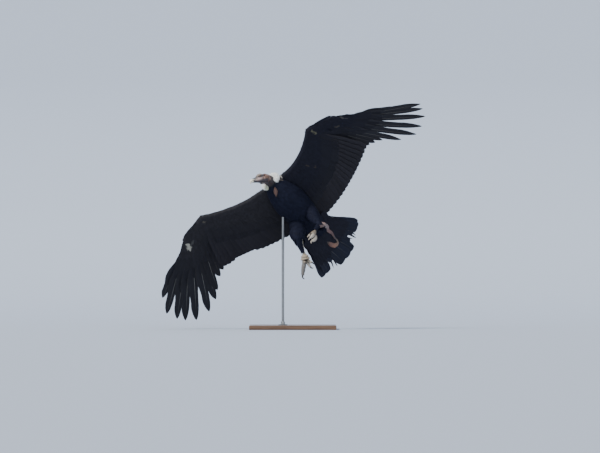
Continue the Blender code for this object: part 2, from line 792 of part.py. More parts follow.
def build_head(neck_cutter):
    frame = head_frame()
    head = skull("head")
    forward = frame.to_3x3() @ Vector((1, 0, 0))
    sockets = []
    for side, word in ((1, "left"), (-1, "right")):
        place = frame @ Vector((0.0120, side * 0.0235, 0.0100))
        for radius, slot in ((0.0080, "eye"), (0.0080 + GAP * 1.5, None)):
            mesh = bmesh.new()
            bmesh.ops.create_uvsphere(mesh, u_segments=8, v_segments=6, radius=radius)
            bmesh.ops.translate(mesh, vec=place, verts=mesh.verts)
            if slot:
                node(mesh_object("eye", mesh), "eye_" + word, slot)
            else:
                sockets.append(mesh_object("socket", mesh, "cutters"))
    fuse(head, face_folds(frame, 1) + face_folds(frame, -1))
    cut(head, neck_cutter)
    for socket in sockets:
        cut(head, socket)
        bpy.data.objects.remove(socket)
    trim(head, frame @ Vector((HEAD[0][0] - GAP / 2, 0, 0)), forward)
    upper, lower = bill("bill_upper", BILL_TOP), bill("bill_lower", BILL_BOTTOM)
    face = frame @ Vector((HEAD[0][0], 0, 0))
    trim(upper, face, -forward)
    trim(lower, face, -forward)
    nostril = tube(
        "nostril",
        [frame @ Vector((0.0500, side * 0.03, 0.0120)) for side in (1, -1)],
        (0.0026, 0.0026),
        forward,
        8,
        "cutters",
    )
    cut(upper, nostril)
    bpy.data.objects.remove(nostril)
    node(upper, "bill_upper", "horn")
    mouth = bill("mouth", [(a, b, wide + GAP, tall + GAP) for a, b, wide, tall in BILL_TOP])
    cut(lower, mouth)
    bpy.data.objects.remove(mouth)
    node(lower, "bill_lower", "horn")
    node(head, "head", "skin")


def build_wattle():
    """The lappet of bare skin that hangs under the male's throat, with its folds."""
    frame = head_frame()
    grown = skull("grown", GAP, "cutters")
    neck = neck_tube("neck_grown", GAP, "cutters")
    pieces = []
    for drop, wide, back in ((0.034, 0.0060, 0.000), (0.037, 0.0045, -0.016), (0.036, 0.0045, 0.014)):
        places = [
            frame @ Vector((back + 0.010 - 0.012 * i, 0.0015 * (i % 2), -drop - 0.003 * (i % 2)))
            for i in range(4)
        ]
        sizes = [(wide * k, 0.0080 * k) for k in (0.55, 1.0, 0.95, 0.5)]
        pieces.append(sweep("lappet", places, sizes, frame.to_3x3() @ Vector((0, 0, 1)), 6))
    wattle = fuse(pieces[0], pieces[1:])
    for cutter in (grown, neck):
        cut(wattle, cutter)
        bpy.data.objects.remove(cutter)
    node(wattle, "wattle", "comb")


def build_comb():
    """The male's fleshy comb, from the cere to the crown."""
    frame = head_frame()
    grown = skull("grown", GAP, "cutters")
    rings = []
    steps = 8
    for i in range(steps + 1):
        share = i / steps
        place = 0.038 - 0.046 * share
        tall = 0.019 * math.sin(math.pi * (share * 0.86 + 0.10))
        _, high, _ = smooth_step(HEAD, place)
        centre = Vector((place, 0, high - 0.004))
        points = ring(centre, Vector((0, 1, 0)), Vector((0, 0, 1)), 0.0065, 0.004 + tall, 0.004, 8)
        rings.append([frame @ point for point in points])
    comb = cut(loft("comb", rings), grown)
    bpy.data.objects.remove(grown)
    node(comb, "comb", "comb")


def neck_places():
    start = Vector((TRUNK[0][0] + GAP, 0, 0))
    end = HEAD_PLACE - HEAD_FORWARD.normalized() * 0.020 + Vector((0, 0, -0.004))
    middle = Vector((end.x - 0.022, 0.004, (start.z + end.z) / 2 + 0.006))
    return [quadratic(start, middle, end, i / 6) for i in range(7)]


def neck_tube(name, grow=0.0, group="pieces"):
    places = neck_places()
    radii = [NECK_RADIUS * (1 - 0.30 * i / 6) + grow for i in range(7)]
    rings = []
    for i, place in enumerate(places):
        before, after = places[max(i - 1, 0)], places[min(i + 1, len(places) - 1)]
        along = Vector((1, 0, 0)) if i == 0 else after - before
        _, left, top = frame_of(along, Vector((0, 0, 1)))
        rings.append(ring(place, left, top, radii[i], radii[i], radii[i], 12))
    return loft(name, rings, group)


def ruff_locks():
    """Broad locks of down in two rows, lying outwards and back over the collar's core."""
    pieces = []
    rows = ((12, 0.034, -0.20, 0.012), (11, 0.036, -1.15, 0.004))
    stations = ((0.0, 0.0135, 0.0030), (0.60, 0.0145, 0.0022), (0.90, 0.0070, 0.0010))
    for row, (count, reach, lean, along) in enumerate(rows):
        for i in range(count):
            turn = math.radians(-138 + 276 * (i + 0.5 * row) / (count - 1 + row))
            out = Vector((0, math.sin(turn), math.cos(turn)))
            side = Vector((0, math.cos(turn), -math.sin(turn)))
            fat = (RUFF_RADIUS - NECK_RADIUS) * (0.55 + 0.45 * math.cos(turn / 2))
            root = Vector((0.318 + along, 0, 0)) + out * (NECK_RADIUS + fat * 0.30)
            way = (out + Vector((lean, 0, 0))).normalized()
            length = reach * (0.72 + 0.28 * math.cos(turn / 2)) + 0.003 * ((i * 7) % 3 - 1)
            normal = side.cross(way).normalized()
            flat = (side + normal * 0.22).normalized()
            rings = []
            for share, wide, thick in stations:
                place = root + way * length * share
                sideways, lift = flat * wide, normal * thick
                rings.append([place + sideways, place + lift, place - sideways, place - lift])
            rings.append([root + way * length])
            pieces.append(loft("lock", rings))
    return pieces


def build_neck():
    """The bare neck, parted into the length that the ruff grows on and the rest."""
    places = neck_places()
    split, along = places[2], (places[3] - places[1]).normalized()
    low = trim(neck_tube("ruff"), split, along)
    high = trim(neck_tube("neck"), split, -along)
    rings = []
    steps = 12
    for i in range(steps + 1):
        turn = math.radians(-140 + 280 * i / steps)
        out = Vector((0, math.sin(turn), math.cos(turn)))
        centre = Vector((0.318, 0, 0)) + out * NECK_RADIUS
        fat = (RUFF_RADIUS - NECK_RADIUS) * (0.50 + 0.40 * math.cos(turn / 2))
        rings.append([centre + out * fat * math.sin(a) + Vector((fat * 0.7 * math.cos(a), 0, 0)) for a in
                      (2 * math.pi * k / 8 for k in range(8))])
    ruff = fuse(low, [loft("puff", rings)] + ruff_locks())
    for grown in (trunk("grown", GAP, "cutters"), trim(neck_tube("grown", GAP), split, -along)):
        cut(ruff, grown)
        bpy.data.objects.remove(grown)
    node(ruff, "ruff", "down")
    return high


def chain(start, way, sole, length, bend, steps):
    """Places along a toe that bends towards its sole by the same angle at each joint."""
    axis = way.cross(sole).normalized()
    turn = Matrix.Rotation(math.radians(bend), 3, axis)
    places = [start]
    way = way.normalized()
    for i in range(steps):
        way = turn @ way if i else way
        places.append(places[-1] + way * length / steps)
    return places, way


def build_toe(word, leg, toe):
    """One toe as a piece for its foot, and its claw as a node a gap in front of it."""
    name, way, length, bend, claw = toe
    start = leg["foot"] + way.normalized() * 0.004
    places, onwards = chain(start, way, leg["sole"], length, bend, 4)
    radii = (0.0105, 0.0090, 0.0096, 0.0080, 0.0062)
    if name == "hind":
        radii = (0.0085, 0.0075, 0.0075, 0.0066, 0.0056)
    axis = way.cross(leg["sole"]).normalized()
    piece = tube("toe", places, radii, axis, 6)
    base = places[-1] + onwards * GAP
    places, _ = chain(base, onwards, leg["sole"], claw, 30, 3)
    nail = tube("claw", places, (0.0054, 0.0048, 0.0034, 0.0008), axis, 6)
    node(nail, "claw_" + word + "_" + name, "claw")
    return piece


def trouser_fringe(knee, heel):
    """Long feathers that hang from the back and sides of the thigh past the heel."""
    shin = (heel - knee).normalized()
    back = Vector((-1, 0, 0))
    back = (back - shin * back.dot(shin)).normalized()
    side = shin.cross(back)
    pieces = []
    for i in range(7):
        turn = math.radians(-117 + 39 * i)
        out = back * math.cos(turn) + side * math.sin(turn)
        across = shin.cross(out)
        root = blend(knee, heel, 0.50 + 0.06 * (i % 2)) + out * 0.026
        tip = blend(knee, heel, 1.02 + 0.10 * math.cos(turn) + 0.05 * (i % 2)) + out * 0.044
        pieces.append(feather(root, tip, across, COVERT_WEBS, math.radians(8), 0.0, 0.0, 1.05, 0.0))
    return pieces


def build_leg(word, leg, trunk_cutter):
    knee, heel, foot = leg["knee"], leg["heel"], leg["foot"]
    up = Vector((1, 0, 0))
    shin = (heel - knee).normalized()
    places = [blend(knee, heel, share) for share in (0.0, 0.25, 0.5, 0.72, 0.86)]
    thigh = tube("thigh", places, (0.052, 0.050, 0.040, 0.030, 0.022), up, 10)
    fuse(thigh, trouser_fringe(knee, heel))
    cut(thigh, trunk_cutter)
    down = (foot - heel).normalized()
    start = places[-1] + shin * GAP
    joints = [start, heel, blend(heel, foot, 0.18), blend(heel, foot, 0.5), blend(heel, foot, 0.82)]
    radii = (0.0165, 0.0175, 0.0125, 0.0105, 0.0120)
    shank = tube("tarsus", joints, radii, up, 10)
    grown = tube("grown", joints, [radius + GAP for radius in radii], up, 10, "cutters")
    cut(thigh, grown)
    bpy.data.objects.remove(grown)
    node(thigh, "thigh_" + word, "plumage")
    end = blend(heel, foot, 0.80)
    node(trim(shank, end, down), "tarsus_" + word, "leg")
    places = [blend(heel, foot, 0.70), foot, foot + down * 0.012]
    ball = tube("foot", places, (0.0120, 0.0170, 0.0110), up, 10)
    fuse(ball, [build_toe(word, leg, toe) for toe in leg["toes"]])
    node(trim(ball, end, -down), "foot_" + word, "leg")


def build_stand(trunk_cutter):
    mesh = bmesh.new()
    bmesh.ops.create_cube(mesh, size=1)
    bmesh.ops.scale(mesh, vec=BASE_SIZE, verts=mesh.verts)
    bmesh.ops.translate(mesh, vec=(0, 0, BASE_SIZE.z / 2), verts=mesh.verts)
    base = mesh_object("base", mesh)
    rounding = base.modifiers.new("rounded edges", "BEVEL")
    rounding.width = BASE_ROUNDING
    rounding.segments = 1
    node(base, "stand_base", "base")
    mesh = bmesh.new()
    bottom = BASE_SIZE.z + GAP
    profile = ((FLANGE_RADIUS, 0), (FLANGE_RADIUS, FLANGE_HEIGHT), (ROD_RADIUS, FLANGE_HEIGHT + 0.004))
    rings = []
    for radius, height in profile + ((ROD_RADIUS, TRUNK_PLACE.z - bottom),):
        centre = ROD_PLACE + Vector((0, 0, bottom + height))
        rings.append(ring(centre, Vector((0, 1, 0)), Vector((1, 0, 0)), radius, radius, radius, 12))
    rod = loft("rod", rings)
    bpy.context.view_layer.update()
    cut(rod, trunk_cutter)
    node(rod, "stand_rod", "steel")


def bank(bird):
    """Parents every node of the bird to the empty that holds it on the stand."""
    for made in collection("andean_condor").objects:
        if made.type == "MESH":
            made.parent = bird


def main():
    clear_scene()
    bird = bpy.data.objects.new("banked_bird", None)
    collection("andean_condor").objects.link(bird)
    bird.matrix_world = Matrix.Translation(TRUNK_PLACE) @ (
        Euler((BANK, -NOSE_UP, HEADING)).to_matrix().to_4x4()
    )
    trunk_cutter = trunk("trunk_cutter", GAP, "cutters")
    trunk_cutter.hide_render = True
    node(trunk("torso"), "torso", "plumage")
    neck = build_neck()
    skull_cutter = skull("skull_cutter", GAP, "cutters")
    build_head(cut(neck_tube("neck_cutter", GAP, "cutters"), skull_cutter))
    bpy.data.objects.remove(bpy.data.objects["neck_cutter"])
    node(cut(neck, skull_cutter), "neck", "skin")
    bpy.data.objects.remove(skull_cutter)
    build_comb()
    build_wattle()
    build_tail()
    for wing in (LEFT_WING, RIGHT_WING):
        build_wing(wing, trunk_cutter)
    for word, leg in LEGS.items():
        build_leg(word, leg, trunk_cutter)
    bank(bird)
    bpy.context.view_layer.update()
    trunk_cutter.parent = bird
    build_stand(trunk_cutter)
    bpy.data.objects.remove(trunk_cutter)


main()
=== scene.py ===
import math

import bmesh
import bpy
import numpy as np
from mathutils import Euler, Matrix, Vector


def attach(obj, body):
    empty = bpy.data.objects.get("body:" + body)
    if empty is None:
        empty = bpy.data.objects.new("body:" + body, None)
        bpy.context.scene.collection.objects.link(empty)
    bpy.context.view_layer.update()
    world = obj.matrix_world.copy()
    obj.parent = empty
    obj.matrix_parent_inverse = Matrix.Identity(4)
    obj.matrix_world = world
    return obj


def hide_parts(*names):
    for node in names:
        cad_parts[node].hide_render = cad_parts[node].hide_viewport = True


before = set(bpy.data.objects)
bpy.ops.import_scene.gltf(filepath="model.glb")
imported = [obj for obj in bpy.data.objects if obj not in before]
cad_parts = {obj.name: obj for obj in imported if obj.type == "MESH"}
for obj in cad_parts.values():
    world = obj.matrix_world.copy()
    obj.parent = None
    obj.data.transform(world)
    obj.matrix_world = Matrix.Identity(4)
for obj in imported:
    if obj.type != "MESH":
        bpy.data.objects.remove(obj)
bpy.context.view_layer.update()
dice = np.random.default_rng(7)
fullTurn = 2 * math.pi
print("frame loaded")

# The bird is made level in its own frame, X to the bill, Y to its left, Z to its back,
# and each finished mesh is then turned to where the stand holds it.
posture = {"noseUp": 38.6, "bank": 53.4, "heading": 217.4, "trunk": (0.03, 0.03, 0.86)}
turned = Euler([math.radians(posture[k]) * s for k, s in (("bank", 1), ("noseUp", -1), ("heading", 1))])
birdToRoom = Matrix.Translation(posture["trunk"]) @ turned.to_matrix().to_4x4()


def unit(v):
    return v / np.maximum(np.linalg.norm(v, axis=-1, keepdims=True), 1e-9)


def ease(x):
    x = np.clip(x, 0, 1)
    return x * x * (3 - 2 * x)


def blend(a, b, share):
    return a + (b - a) * share


def tint(colours, paint, share):
    # rows of colours taken this share of the way to another paint
    return blend(np.asarray(colours), np.array(paint), np.clip(share, 0, 1)[:, None])


def dome(near, full=0.999):
    # a round end: 0 at its tip and 1 from where it is full
    return np.sqrt(1 - (1 - np.clip(near, 0, 1)) ** 2 * full)


def smoothTable(table, where):
    # reads a table whose first column rises, with smooth slopes between its rows
    rows = np.array(table, float)
    x, y = rows[:, 0], rows[:, 1:]
    where = np.clip(np.asarray(where, float), x[0], x[-1])
    slope = np.gradient(y, x, axis=0)
    i = np.clip(np.searchsorted(x, where, side="right") - 1, 0, len(x) - 2)
    h = x[i + 1] - x[i]
    t = ((where - x[i]) / h)[..., None]
    h = h[..., None]
    a, b = (1 + 2 * t) * (1 - t) ** 2, t * (1 - t) ** 2
    c, d = t * t * (3 - 2 * t), t * t * (t - 1)
    return a * y[i] + b * h * slope[i] + c * y[i + 1] + d * h * slope[i + 1]


def addObject(name, mesh, materials, place=True):
    if place:
        mesh.transform(birdToRoom)
    piece = bpy.data.objects.new(name, mesh)
    bpy.context.scene.collection.objects.link(piece)
    for paint in materials:
        mesh.materials.append(paint)
    return piece


def asMesh(shape, name):
    # the bmesh as a mesh, and the bmesh is let go
    made = bpy.data.meshes.new(name)
    shape.to_mesh(made)
    shape.free()
    return made


def rideRoot(piece, slot, *nodes):
    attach(piece, "root")
    if nodes:
        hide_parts(*nodes)
    print("made", piece.name, len(piece.data.polygons), "faces")
    return piece


# Materials
def newMaterial(name):
    paint = bpy.data.materials.new(name)
    paint.use_nodes = True
    return paint, paint.node_tree, paint.node_tree.nodes["Principled BSDF"]


def feed(tree, socket, value):
    # a link where the value is another node's socket, and a plain value otherwise
    if hasattr(value, "is_linked"):
        tree.links.new(value, socket)
    else:
        socket.default_value = value


def feedAll(tree, node, values):
    for word, value in values.items():
        feed(tree, node.inputs[word], value)


def addNode(tree, kind, **values):
    # each value goes to the input of that name, or else it is a setting of the node
    made = tree.nodes.new("ShaderNode" + kind)
    for key, value in values.items():
        if key in made.inputs:
            feed(tree, made.inputs[key], value)
        else:
            setattr(made, key, value)
    return made


def maths(tree, operation, *values, clamp=False):
    made = addNode(tree, "Math", operation=operation, use_clamp=clamp)
    for socket, value in zip(made.inputs, values):
        feed(tree, socket, value)
    return made.outputs[0]


def mixColour(tree, factor, a, b, blend="MIX"):
    made = addNode(tree, "Mix", data_type="RGBA", blend_type=blend)
    for number, value in ((0, factor), (6, a), (7, b)):  # its factor and its two colours
        feed(tree, made.inputs[number], value)
    return made.outputs[2]


def greyOf(tree, value):
    return addNode(tree, "CombineColor", Red=value, Green=value, Blue=value).outputs[0]


def objectPlace(tree):
    return addNode(tree, "TexCoord").outputs["Object"]


def toneOf(tree):
    # the colour that each piece carries on its points
    return addNode(tree, "Attribute", attribute_name="tone").outputs["Color"]


def newGroup(name, inputs, outputs):
    tree = bpy.data.node_groups.new(name, "ShaderNodeTree")
    for word, kind in inputs:
        tree.interface.new_socket(word, in_out="INPUT", socket_type="NodeSocket" + kind)
    for word in outputs:
        tree.interface.new_socket(word, in_out="OUTPUT", socket_type="NodeSocketFloat")
    return tree, tree.nodes.new("NodeGroupInput").outputs, tree.nodes.new("NodeGroupOutput")


def makeBarbs():
    # fine slanting barbs on both sides of a shaft, from the vane's own map
    tree, given, end = newGroup(
        "barbs", (("map", "Vector"), ("count", "Float"), ("slant", "Float")), ("height", "streak", "across"))
    split = addNode(tree, "SeparateXYZ", Vector=given["map"]).outputs
    across = maths(tree, "ABSOLUTE", maths(tree, "SUBTRACT", split[1], 0.5))
    across = maths(tree, "MULTIPLY", across, 2.0)
    slanted = maths(tree, "SUBTRACT", split[0], maths(tree, "MULTIPLY", across, given["slant"]))
    phase = maths(tree, "MULTIPLY", slanted, given["count"])
    wave = maths(tree, "SINE", maths(tree, "MULTIPLY", phase, fullTurn))
    lay = addNode(tree, "CombineXYZ", X=maths(tree, "MULTIPLY", slanted, 40.0),
                  Y=maths(tree, "MULTIPLY", split[1], 1.2), Z=split[2])
    noise = addNode(tree, "TexNoise", Vector=lay.outputs[0], Scale=1.0, Detail=4.0, Roughness=0.6)
    feedAll(tree, end, {
        "height": maths(tree, "MULTIPLY_ADD", wave, 0.35), "streak": noise.outputs[0], "across": across})
    return tree


barbGroup = makeBarbs()


def makeFeatherPaint(name, look):
    paint, tree, shader = newMaterial(name)
    barbs = addNode(tree, "Group", node_tree=barbGroup)
    vane = addNode(tree, "UVMap", uv_map="vane")
    feedAll(tree, barbs, {"map": vane.outputs[0], "count": look["count"], "slant": look["slant"]})
    streak = barbs.outputs["streak"]
    shade = maths(tree, "MULTIPLY_ADD", streak, look["streak"], 1 - look["streak"] * 0.5)
    rim = maths(tree, "POWER", barbs.outputs["across"], 5.0)
    worn = maths(tree, "MULTIPLY", rim, look["wear"], clamp=True)
    pale = mixColour(tree, worn, toneOf(tree), look["edge"])
    bump = addNode(tree, "Bump", Strength=look["bump"], Distance=0.0004, Height=barbs.outputs["height"])
    feedAll(tree, shader, {
        "Base Color": mixColour(tree, 1.0, pale, greyOf(tree, shade), "MULTIPLY"),
        "Roughness": maths(tree, "MULTIPLY_ADD", streak, 0.25, look["rough"] - 0.12),
        "Normal": bump.outputs[0], "Specular IOR Level": look["gloss"],
        "Sheen Weight": look["sheen"], "Sheen Roughness": 0.4, "Sheen Tint": look["sheenTint"],
    })
    return paint


featherLooks = {
    "covertPaint": {
        "count": 34.0, "slant": 0.3, "streak": 0.6, "wear": 0.1, "edge": (0.024, 0.024, 0.03, 1),
        "rough": 0.56, "bump": 0.45, "gloss": 0.11, "sheen": 0.01, "sheenTint": (0.35, 0.45, 0.75, 1),
    },
    "bodyPaint": {
        "count": 30.0, "slant": 0.32, "streak": 0.6, "wear": 0.08, "edge": (0.018, 0.019, 0.026, 1),
        "rough": 0.68, "bump": 0.45, "gloss": 0.045, "sheen": 0.008, "sheenTint": (0.35, 0.45, 0.75, 1),
    },
    "flightPaint": {
        "count": 190.0, "slant": 0.06, "streak": 0.8, "wear": 0.16, "edge": (0.04, 0.035, 0.03, 1),
        "rough": 0.5, "bump": 0.35, "gloss": 0.16, "sheen": 0.01, "sheenTint": (0.7, 0.65, 0.6, 1),
    },
    "downPaint": {
        "count": 26.0, "slant": 0.35, "streak": 0.12, "wear": 0.0, "edge": (1, 1, 1, 1),
        "rough": 0.85, "bump": 0.25, "gloss": 0.2, "sheen": 0.35, "sheenTint": (1, 1, 1, 1),
    },
}
featherPaints = {name: makeFeatherPaint(name, look) for name, look in featherLooks.items()}


def makeShaftPaint():
    # horn that goes from pale at the quill to dark at the tip
    paint, tree, shader = newMaterial("shaftPaint")
    noise = addNode(tree, "TexNoise", Vector=objectPlace(tree), Scale=180.0, Detail=3.0)
    weak = maths(tree, "MULTIPLY", noise.outputs[0], 0.3)
    colour = mixColour(tree, weak, toneOf(tree), (0.05, 0.045, 0.04, 1))
    feedAll(tree, shader, {"Base Color": colour, "Roughness": 0.35})
    return paint


shaftPaint = makeShaftPaint()
print("feather materials ready")


# Feathers: closed vanes made many at a time, each with its map along and across, and a
# small patch of its own on the map for baking.
patchSize = 0.003  # of a small feather or a shaft on the map for baking


def newBag():
    lists = {key: [] for key in ("points", "loops", "sizes", "vane", "bake", "tone", "paint")}
    return {"count": 0, **lists}


def pour(bag, points, faces, vane, bake, tone, paintIndex):
    # points (n, k, 3) of n like feathers, faces a list of index arrays for one of them
    n, k = points.shape[:2]
    offset = bag["count"] + np.arange(n)[:, None, None] * k
    for face in faces:
        block = (face[None] + offset).reshape(-1, face.shape[1])
        bag["loops"].append(block.ravel())
        bag["sizes"].append(np.full(len(block), face.shape[1]))
        bag["paint"].append(np.full(len(block), paintIndex))
    bag["points"].append(points.reshape(-1, 3))
    bag["vane"].append(vane.reshape(-1, 2))
    bag["bake"].append(bake.reshape(-1, 2))
    bag["tone"].append(tone.reshape(-1, 4))
    bag["count"] += n * k


def emptyBag(name, bag, materials):
    mesh = bpy.data.meshes.new(name)
    points = np.concatenate(bag["points"])
    loops = np.concatenate(bag["loops"])
    sizes = np.concatenate(bag["sizes"])
    mesh.vertices.add(len(points))
    mesh.vertices.foreach_set("co", points.ravel())
    mesh.loops.add(len(loops))
    mesh.loops.foreach_set("vertex_index", loops)
    mesh.polygons.add(len(sizes))
    mesh.polygons.foreach_set("loop_start", np.concatenate(([0], np.cumsum(sizes)[:-1])))
    mesh.polygons.foreach_set("material_index", np.concatenate(bag["paint"]))
    mesh.update(calc_edges=True)
    for word, key in (("OFBake", "bake"), ("vane", "vane")):
        layer = mesh.uv_layers.new(name=word)
        layer.data.foreach_set("uv", np.concatenate(bag[key])[loops].ravel())
    colours = mesh.color_attributes.new("tone", "FLOAT_COLOR", "POINT")
    colours.data.foreach_set("color", np.concatenate(bag["tone"]).ravel())
    mesh.shade_smooth()
    mesh.set_sharp_from_angle(angle=math.radians(50))
    return addObject(name, mesh, materials)


def rideBag(name, bag, paint, slot, *nodes):
    materials = [featherPaints[paint]] + ([shaftPaint] if paint == "flightPaint" else [])
    return rideRoot(emptyBag(name, bag, materials), slot, *nodes)


def gridFaces(rows, cols, start=0, flip=False):
    r, c = np.meshgrid(np.arange(rows - 1), np.arange(cols - 1), indexing="ij")
    a = (start + r * cols + c).ravel()
    face = np.stack((a, a + cols, a + cols + 1, a + 1), 1)
    return face[:, ::-1] if flip else face


def vaneFaces(rows, cols):
    # an upper and a lower sheet, closed round their rim
    under = rows * cols
    r = np.arange(rows - 1) * cols
    c = np.arange(cols - 1)
    left = np.stack((r, r + under, r + cols + under, r + cols), 1)
    right = (left + cols - 1)[:, ::-1]
    root = np.stack((c, c + 1, c + 1 + under, c + under), 1)
    tip = (root + (rows - 1) * cols)[:, ::-1]
    return [gridFaces(rows, cols), gridFaces(rows, cols, under, True), left, right, root, tip]


def slimFaces(rows):
    # three columns, with a ridge along the middle, and one flat underside
    r = np.arange(rows - 1) * 3
    under = np.stack((r + 2, r + 5, r + 3, r), 1)
    ends = np.array(((0, 1, 2), (3 * rows - 1, 3 * rows - 2, 3 * rows - 3)))
    return [gridFaces(rows, 3), under, ends]


def spineOf(ends, rows):
    # each feather's midline and its direction at these many places from root to tip
    s = np.linspace(0, 1, rows)
    a, b, c = (ends[:, k, None, :] for k in range(3))
    t = s[None, :, None]
    return s, a * (1 - t) ** 2 + b * 2 * t * (1 - t) + c * t * t, unit((b - a) * (1 - t) + (c - b) * t)


def growSlim(bag, ends, up, half, tone, seat, look):
    # small body feathers: ends (n, 3, 3) are the root, a middle control and the tip
    rows = look["rows"]
    s, spine, along = spineOf(ends, rows)
    wide = smoothTable(look["outline"], s)[None, :, 0] * half[:, None]
    side = unit(np.cross(up[:, None, :], along))
    lift = np.cross(along, side)
    t = np.array((-1.0, 0.0, 1.0))
    ridge = np.array((0.0, 1.0, 0.0)) * look["ridge"]
    cup = -np.abs(t) * look["cup"]
    points = spine[:, :, None] + side[:, :, None] * (wide[..., None] * t)[..., None]
    points = points + lift[:, :, None] * (ridge + cup * wide[..., None])[..., None]
    n = len(ends)
    vane = np.empty((n, rows, 3, 2))
    vane[..., 0] = s[None, :, None]
    vane[..., 1] = 0.5 + t * 0.5
    bake = seat[:, None, None, :] + (vane - 0.5) * patchSize
    colour = np.ones((n, rows, 3, 4))
    colour[..., :3] = tone[:, None, None, :]
    pour(bag, points.reshape(n, -1, 3), slimFaces(rows), vane, bake, colour, 0)


def growVanes(bag, ends, up, widths, tone, cells, look, twist=None, tilt=None):
    # flight feathers and long coverts: widths (n, rows, 2) on the +side and -side of the shaft
    rows, cols = look["rows"], look["cols"]
    n = len(ends)
    s, spine, along = spineOf(ends, rows)
    side = unit(np.cross(up[:, None, :], along))
    lift = np.cross(along, side)
    turn = np.zeros((n, rows))
    if tilt is not None:
        turn += tilt[:, None]
    if twist is not None:
        turn += twist[:, None] * ease((s - 0.45) / 0.25)[None]
    side, lift = (side * np.cos(turn)[..., None] + lift * np.sin(turn)[..., None],
                  lift * np.cos(turn)[..., None] - side * np.sin(turn)[..., None])
    t = np.linspace(-1, 1, cols)
    reach = np.where(t > 0, widths[:, :, None, 0], widths[:, :, None, 1])
    across = t * reach
    bow = -look["cup"] * np.abs(t) ** 1.5 * reach
    slant = look["slant"] * np.abs(across)
    sheets = []
    for k in (1, -1):
        sheet = spine[:, :, None] + side[:, :, None] * across[..., None]
        sheet = sheet + lift[:, :, None] * (bow + k * look["thick"] / 2)[..., None]
        sheets.append(sheet + along[:, :, None] * (slant * (s[None, :, None] > 0.5))[..., None])
    points = np.stack(sheets, 1)
    vane = np.empty((n, 2, rows, cols, 2))
    vane[..., 0] = s[None, None, :, None]
    vane[..., 1] = 0.5 + t * 0.5
    bake = cells[:, :, None, None, :2] + vane * (cells[:, :, None, None, 2:])
    pour(bag, points.reshape(n, -1, 3), vaneFaces(rows, cols), vane, bake, tone, 0)
    return spine, side, lift


def growShafts(bag, vanes, quill, tone, cells, sides=5):
    # a shaft of few sides along each of these vanes, as points (n, rows, sides)
    spine, side, lift = vanes
    n, rows = spine.shape[:2]
    radius = np.maximum(0.0004, quill * (1 - np.linspace(0, 1, rows)) ** 0.8)[None, :, None, None]
    turn = (np.arange(sides) * fullTurn / sides)[None, None, :, None]
    ring = side[:, :, None] * np.cos(turn) + lift[:, :, None] * np.sin(turn)
    points = (spine - lift * 0.0004)[:, :, None] + ring * radius
    r, c = np.meshgrid(np.arange(rows - 1), np.arange(sides), indexing="ij")
    a, b = (r * sides + c).ravel(), (r * sides + (c + 1) % sides).ravel()
    faces = np.stack((a, a + sides, b + sides, b), 1)
    caps = np.stack((np.arange(sides), np.arange(sides)[::-1] + (rows - 1) * sides))
    vane = np.empty((n, rows, sides, 2))
    vane[..., 0] = np.linspace(0, 1, rows)[None, :, None]
    vane[..., 1] = 0.5
    patch = (cells[:, 1, :2] + 0.002)[:, None, None, :] + (vane - 0.5) * patchSize
    colour = np.ones((n, rows, sides, 4))
    colour[..., :3] = tone[:, :, None, :]
    pour(bag, points.reshape(n, -1, 3), [faces, caps], vane, patch, colour, 1)


# The trunk, neck and thighs as surfaces of two values: q goes round, d back from the front.
trunkShape = {
    "stations": (
        (-0.262, 0.062, 0.036, 0.042),
        (-0.215, 0.074, 0.052, 0.062),
        (-0.13, 0.092, 0.072, 0.09),
        (-0.03, 0.11, 0.09, 0.118),
        (0.085, 0.116, 0.094, 0.126),
        (0.185, 0.098, 0.082, 0.108),
        (0.262, 0.068, 0.06, 0.074),
        (0.3, 0.047, 0.044, 0.05),
    ),
    "front": 0.3,
}


def trunkSurface(q, d):
    # q is an angle from the bird's left side upwards, d the distance behind the neck
    q, d = np.broadcast_arrays(q, d)
    x = trunkShape["front"] - d
    sizes = smoothTable(trunkShape["stations"], x)
    beyond = np.clip(-0.262 - x, 0, 1)
    shrink = 1 - 0.5 * ease(beyond / 0.16)
    tall = np.where(np.sin(q) > 0, sizes[..., 1], sizes[..., 2])
    return np.stack((x, sizes[..., 0] * np.cos(q) * shrink, tall * np.sin(q) * shrink), -1)


def normalsOf(surface, q, d, step=0.002):
    # places on the surface and the directions out of it
    here = surface(q, d)
    back = surface(q, d + step) - here
    aside = surface(q + step, d) - here
    return here, unit(np.cross(aside, back))


def liesOn(surface, q, d, length, flip):
    # the same for the root, middle and tip of feathers that lie on a surface
    places = (normalsOf(surface, q, d + length * share) for share in (0, 0.5, 1))
    return [(place, out * flip) for place, out in places]


def evenRow(surface, q0, q1, depth, spacing, shift):
    # places along one row, evenly spaced whatever the surface's shape
    q = np.linspace(q0, q1, 500)
    line = surface(q, depth(q))
    run = np.concatenate(([0], np.cumsum(np.linalg.norm(np.diff(line, axis=0), axis=1))))
    count = max(2, int(run[-1] / spacing))
    return np.interp((np.arange(count) + shift) * run[-1] / count, run, q)


def asFunction(value):
    # a plain number as a function that gives it everywhere
    return value if callable(value) else lambda q: np.full(np.shape(q), float(value))


def grown(coat, share):
    # the sizes of a coat's feathers: a first value and what is added to it by this share
    return {key: coat[key][0] + coat[key][1] * share for key in ("spacing", "length", "half", "lift")}


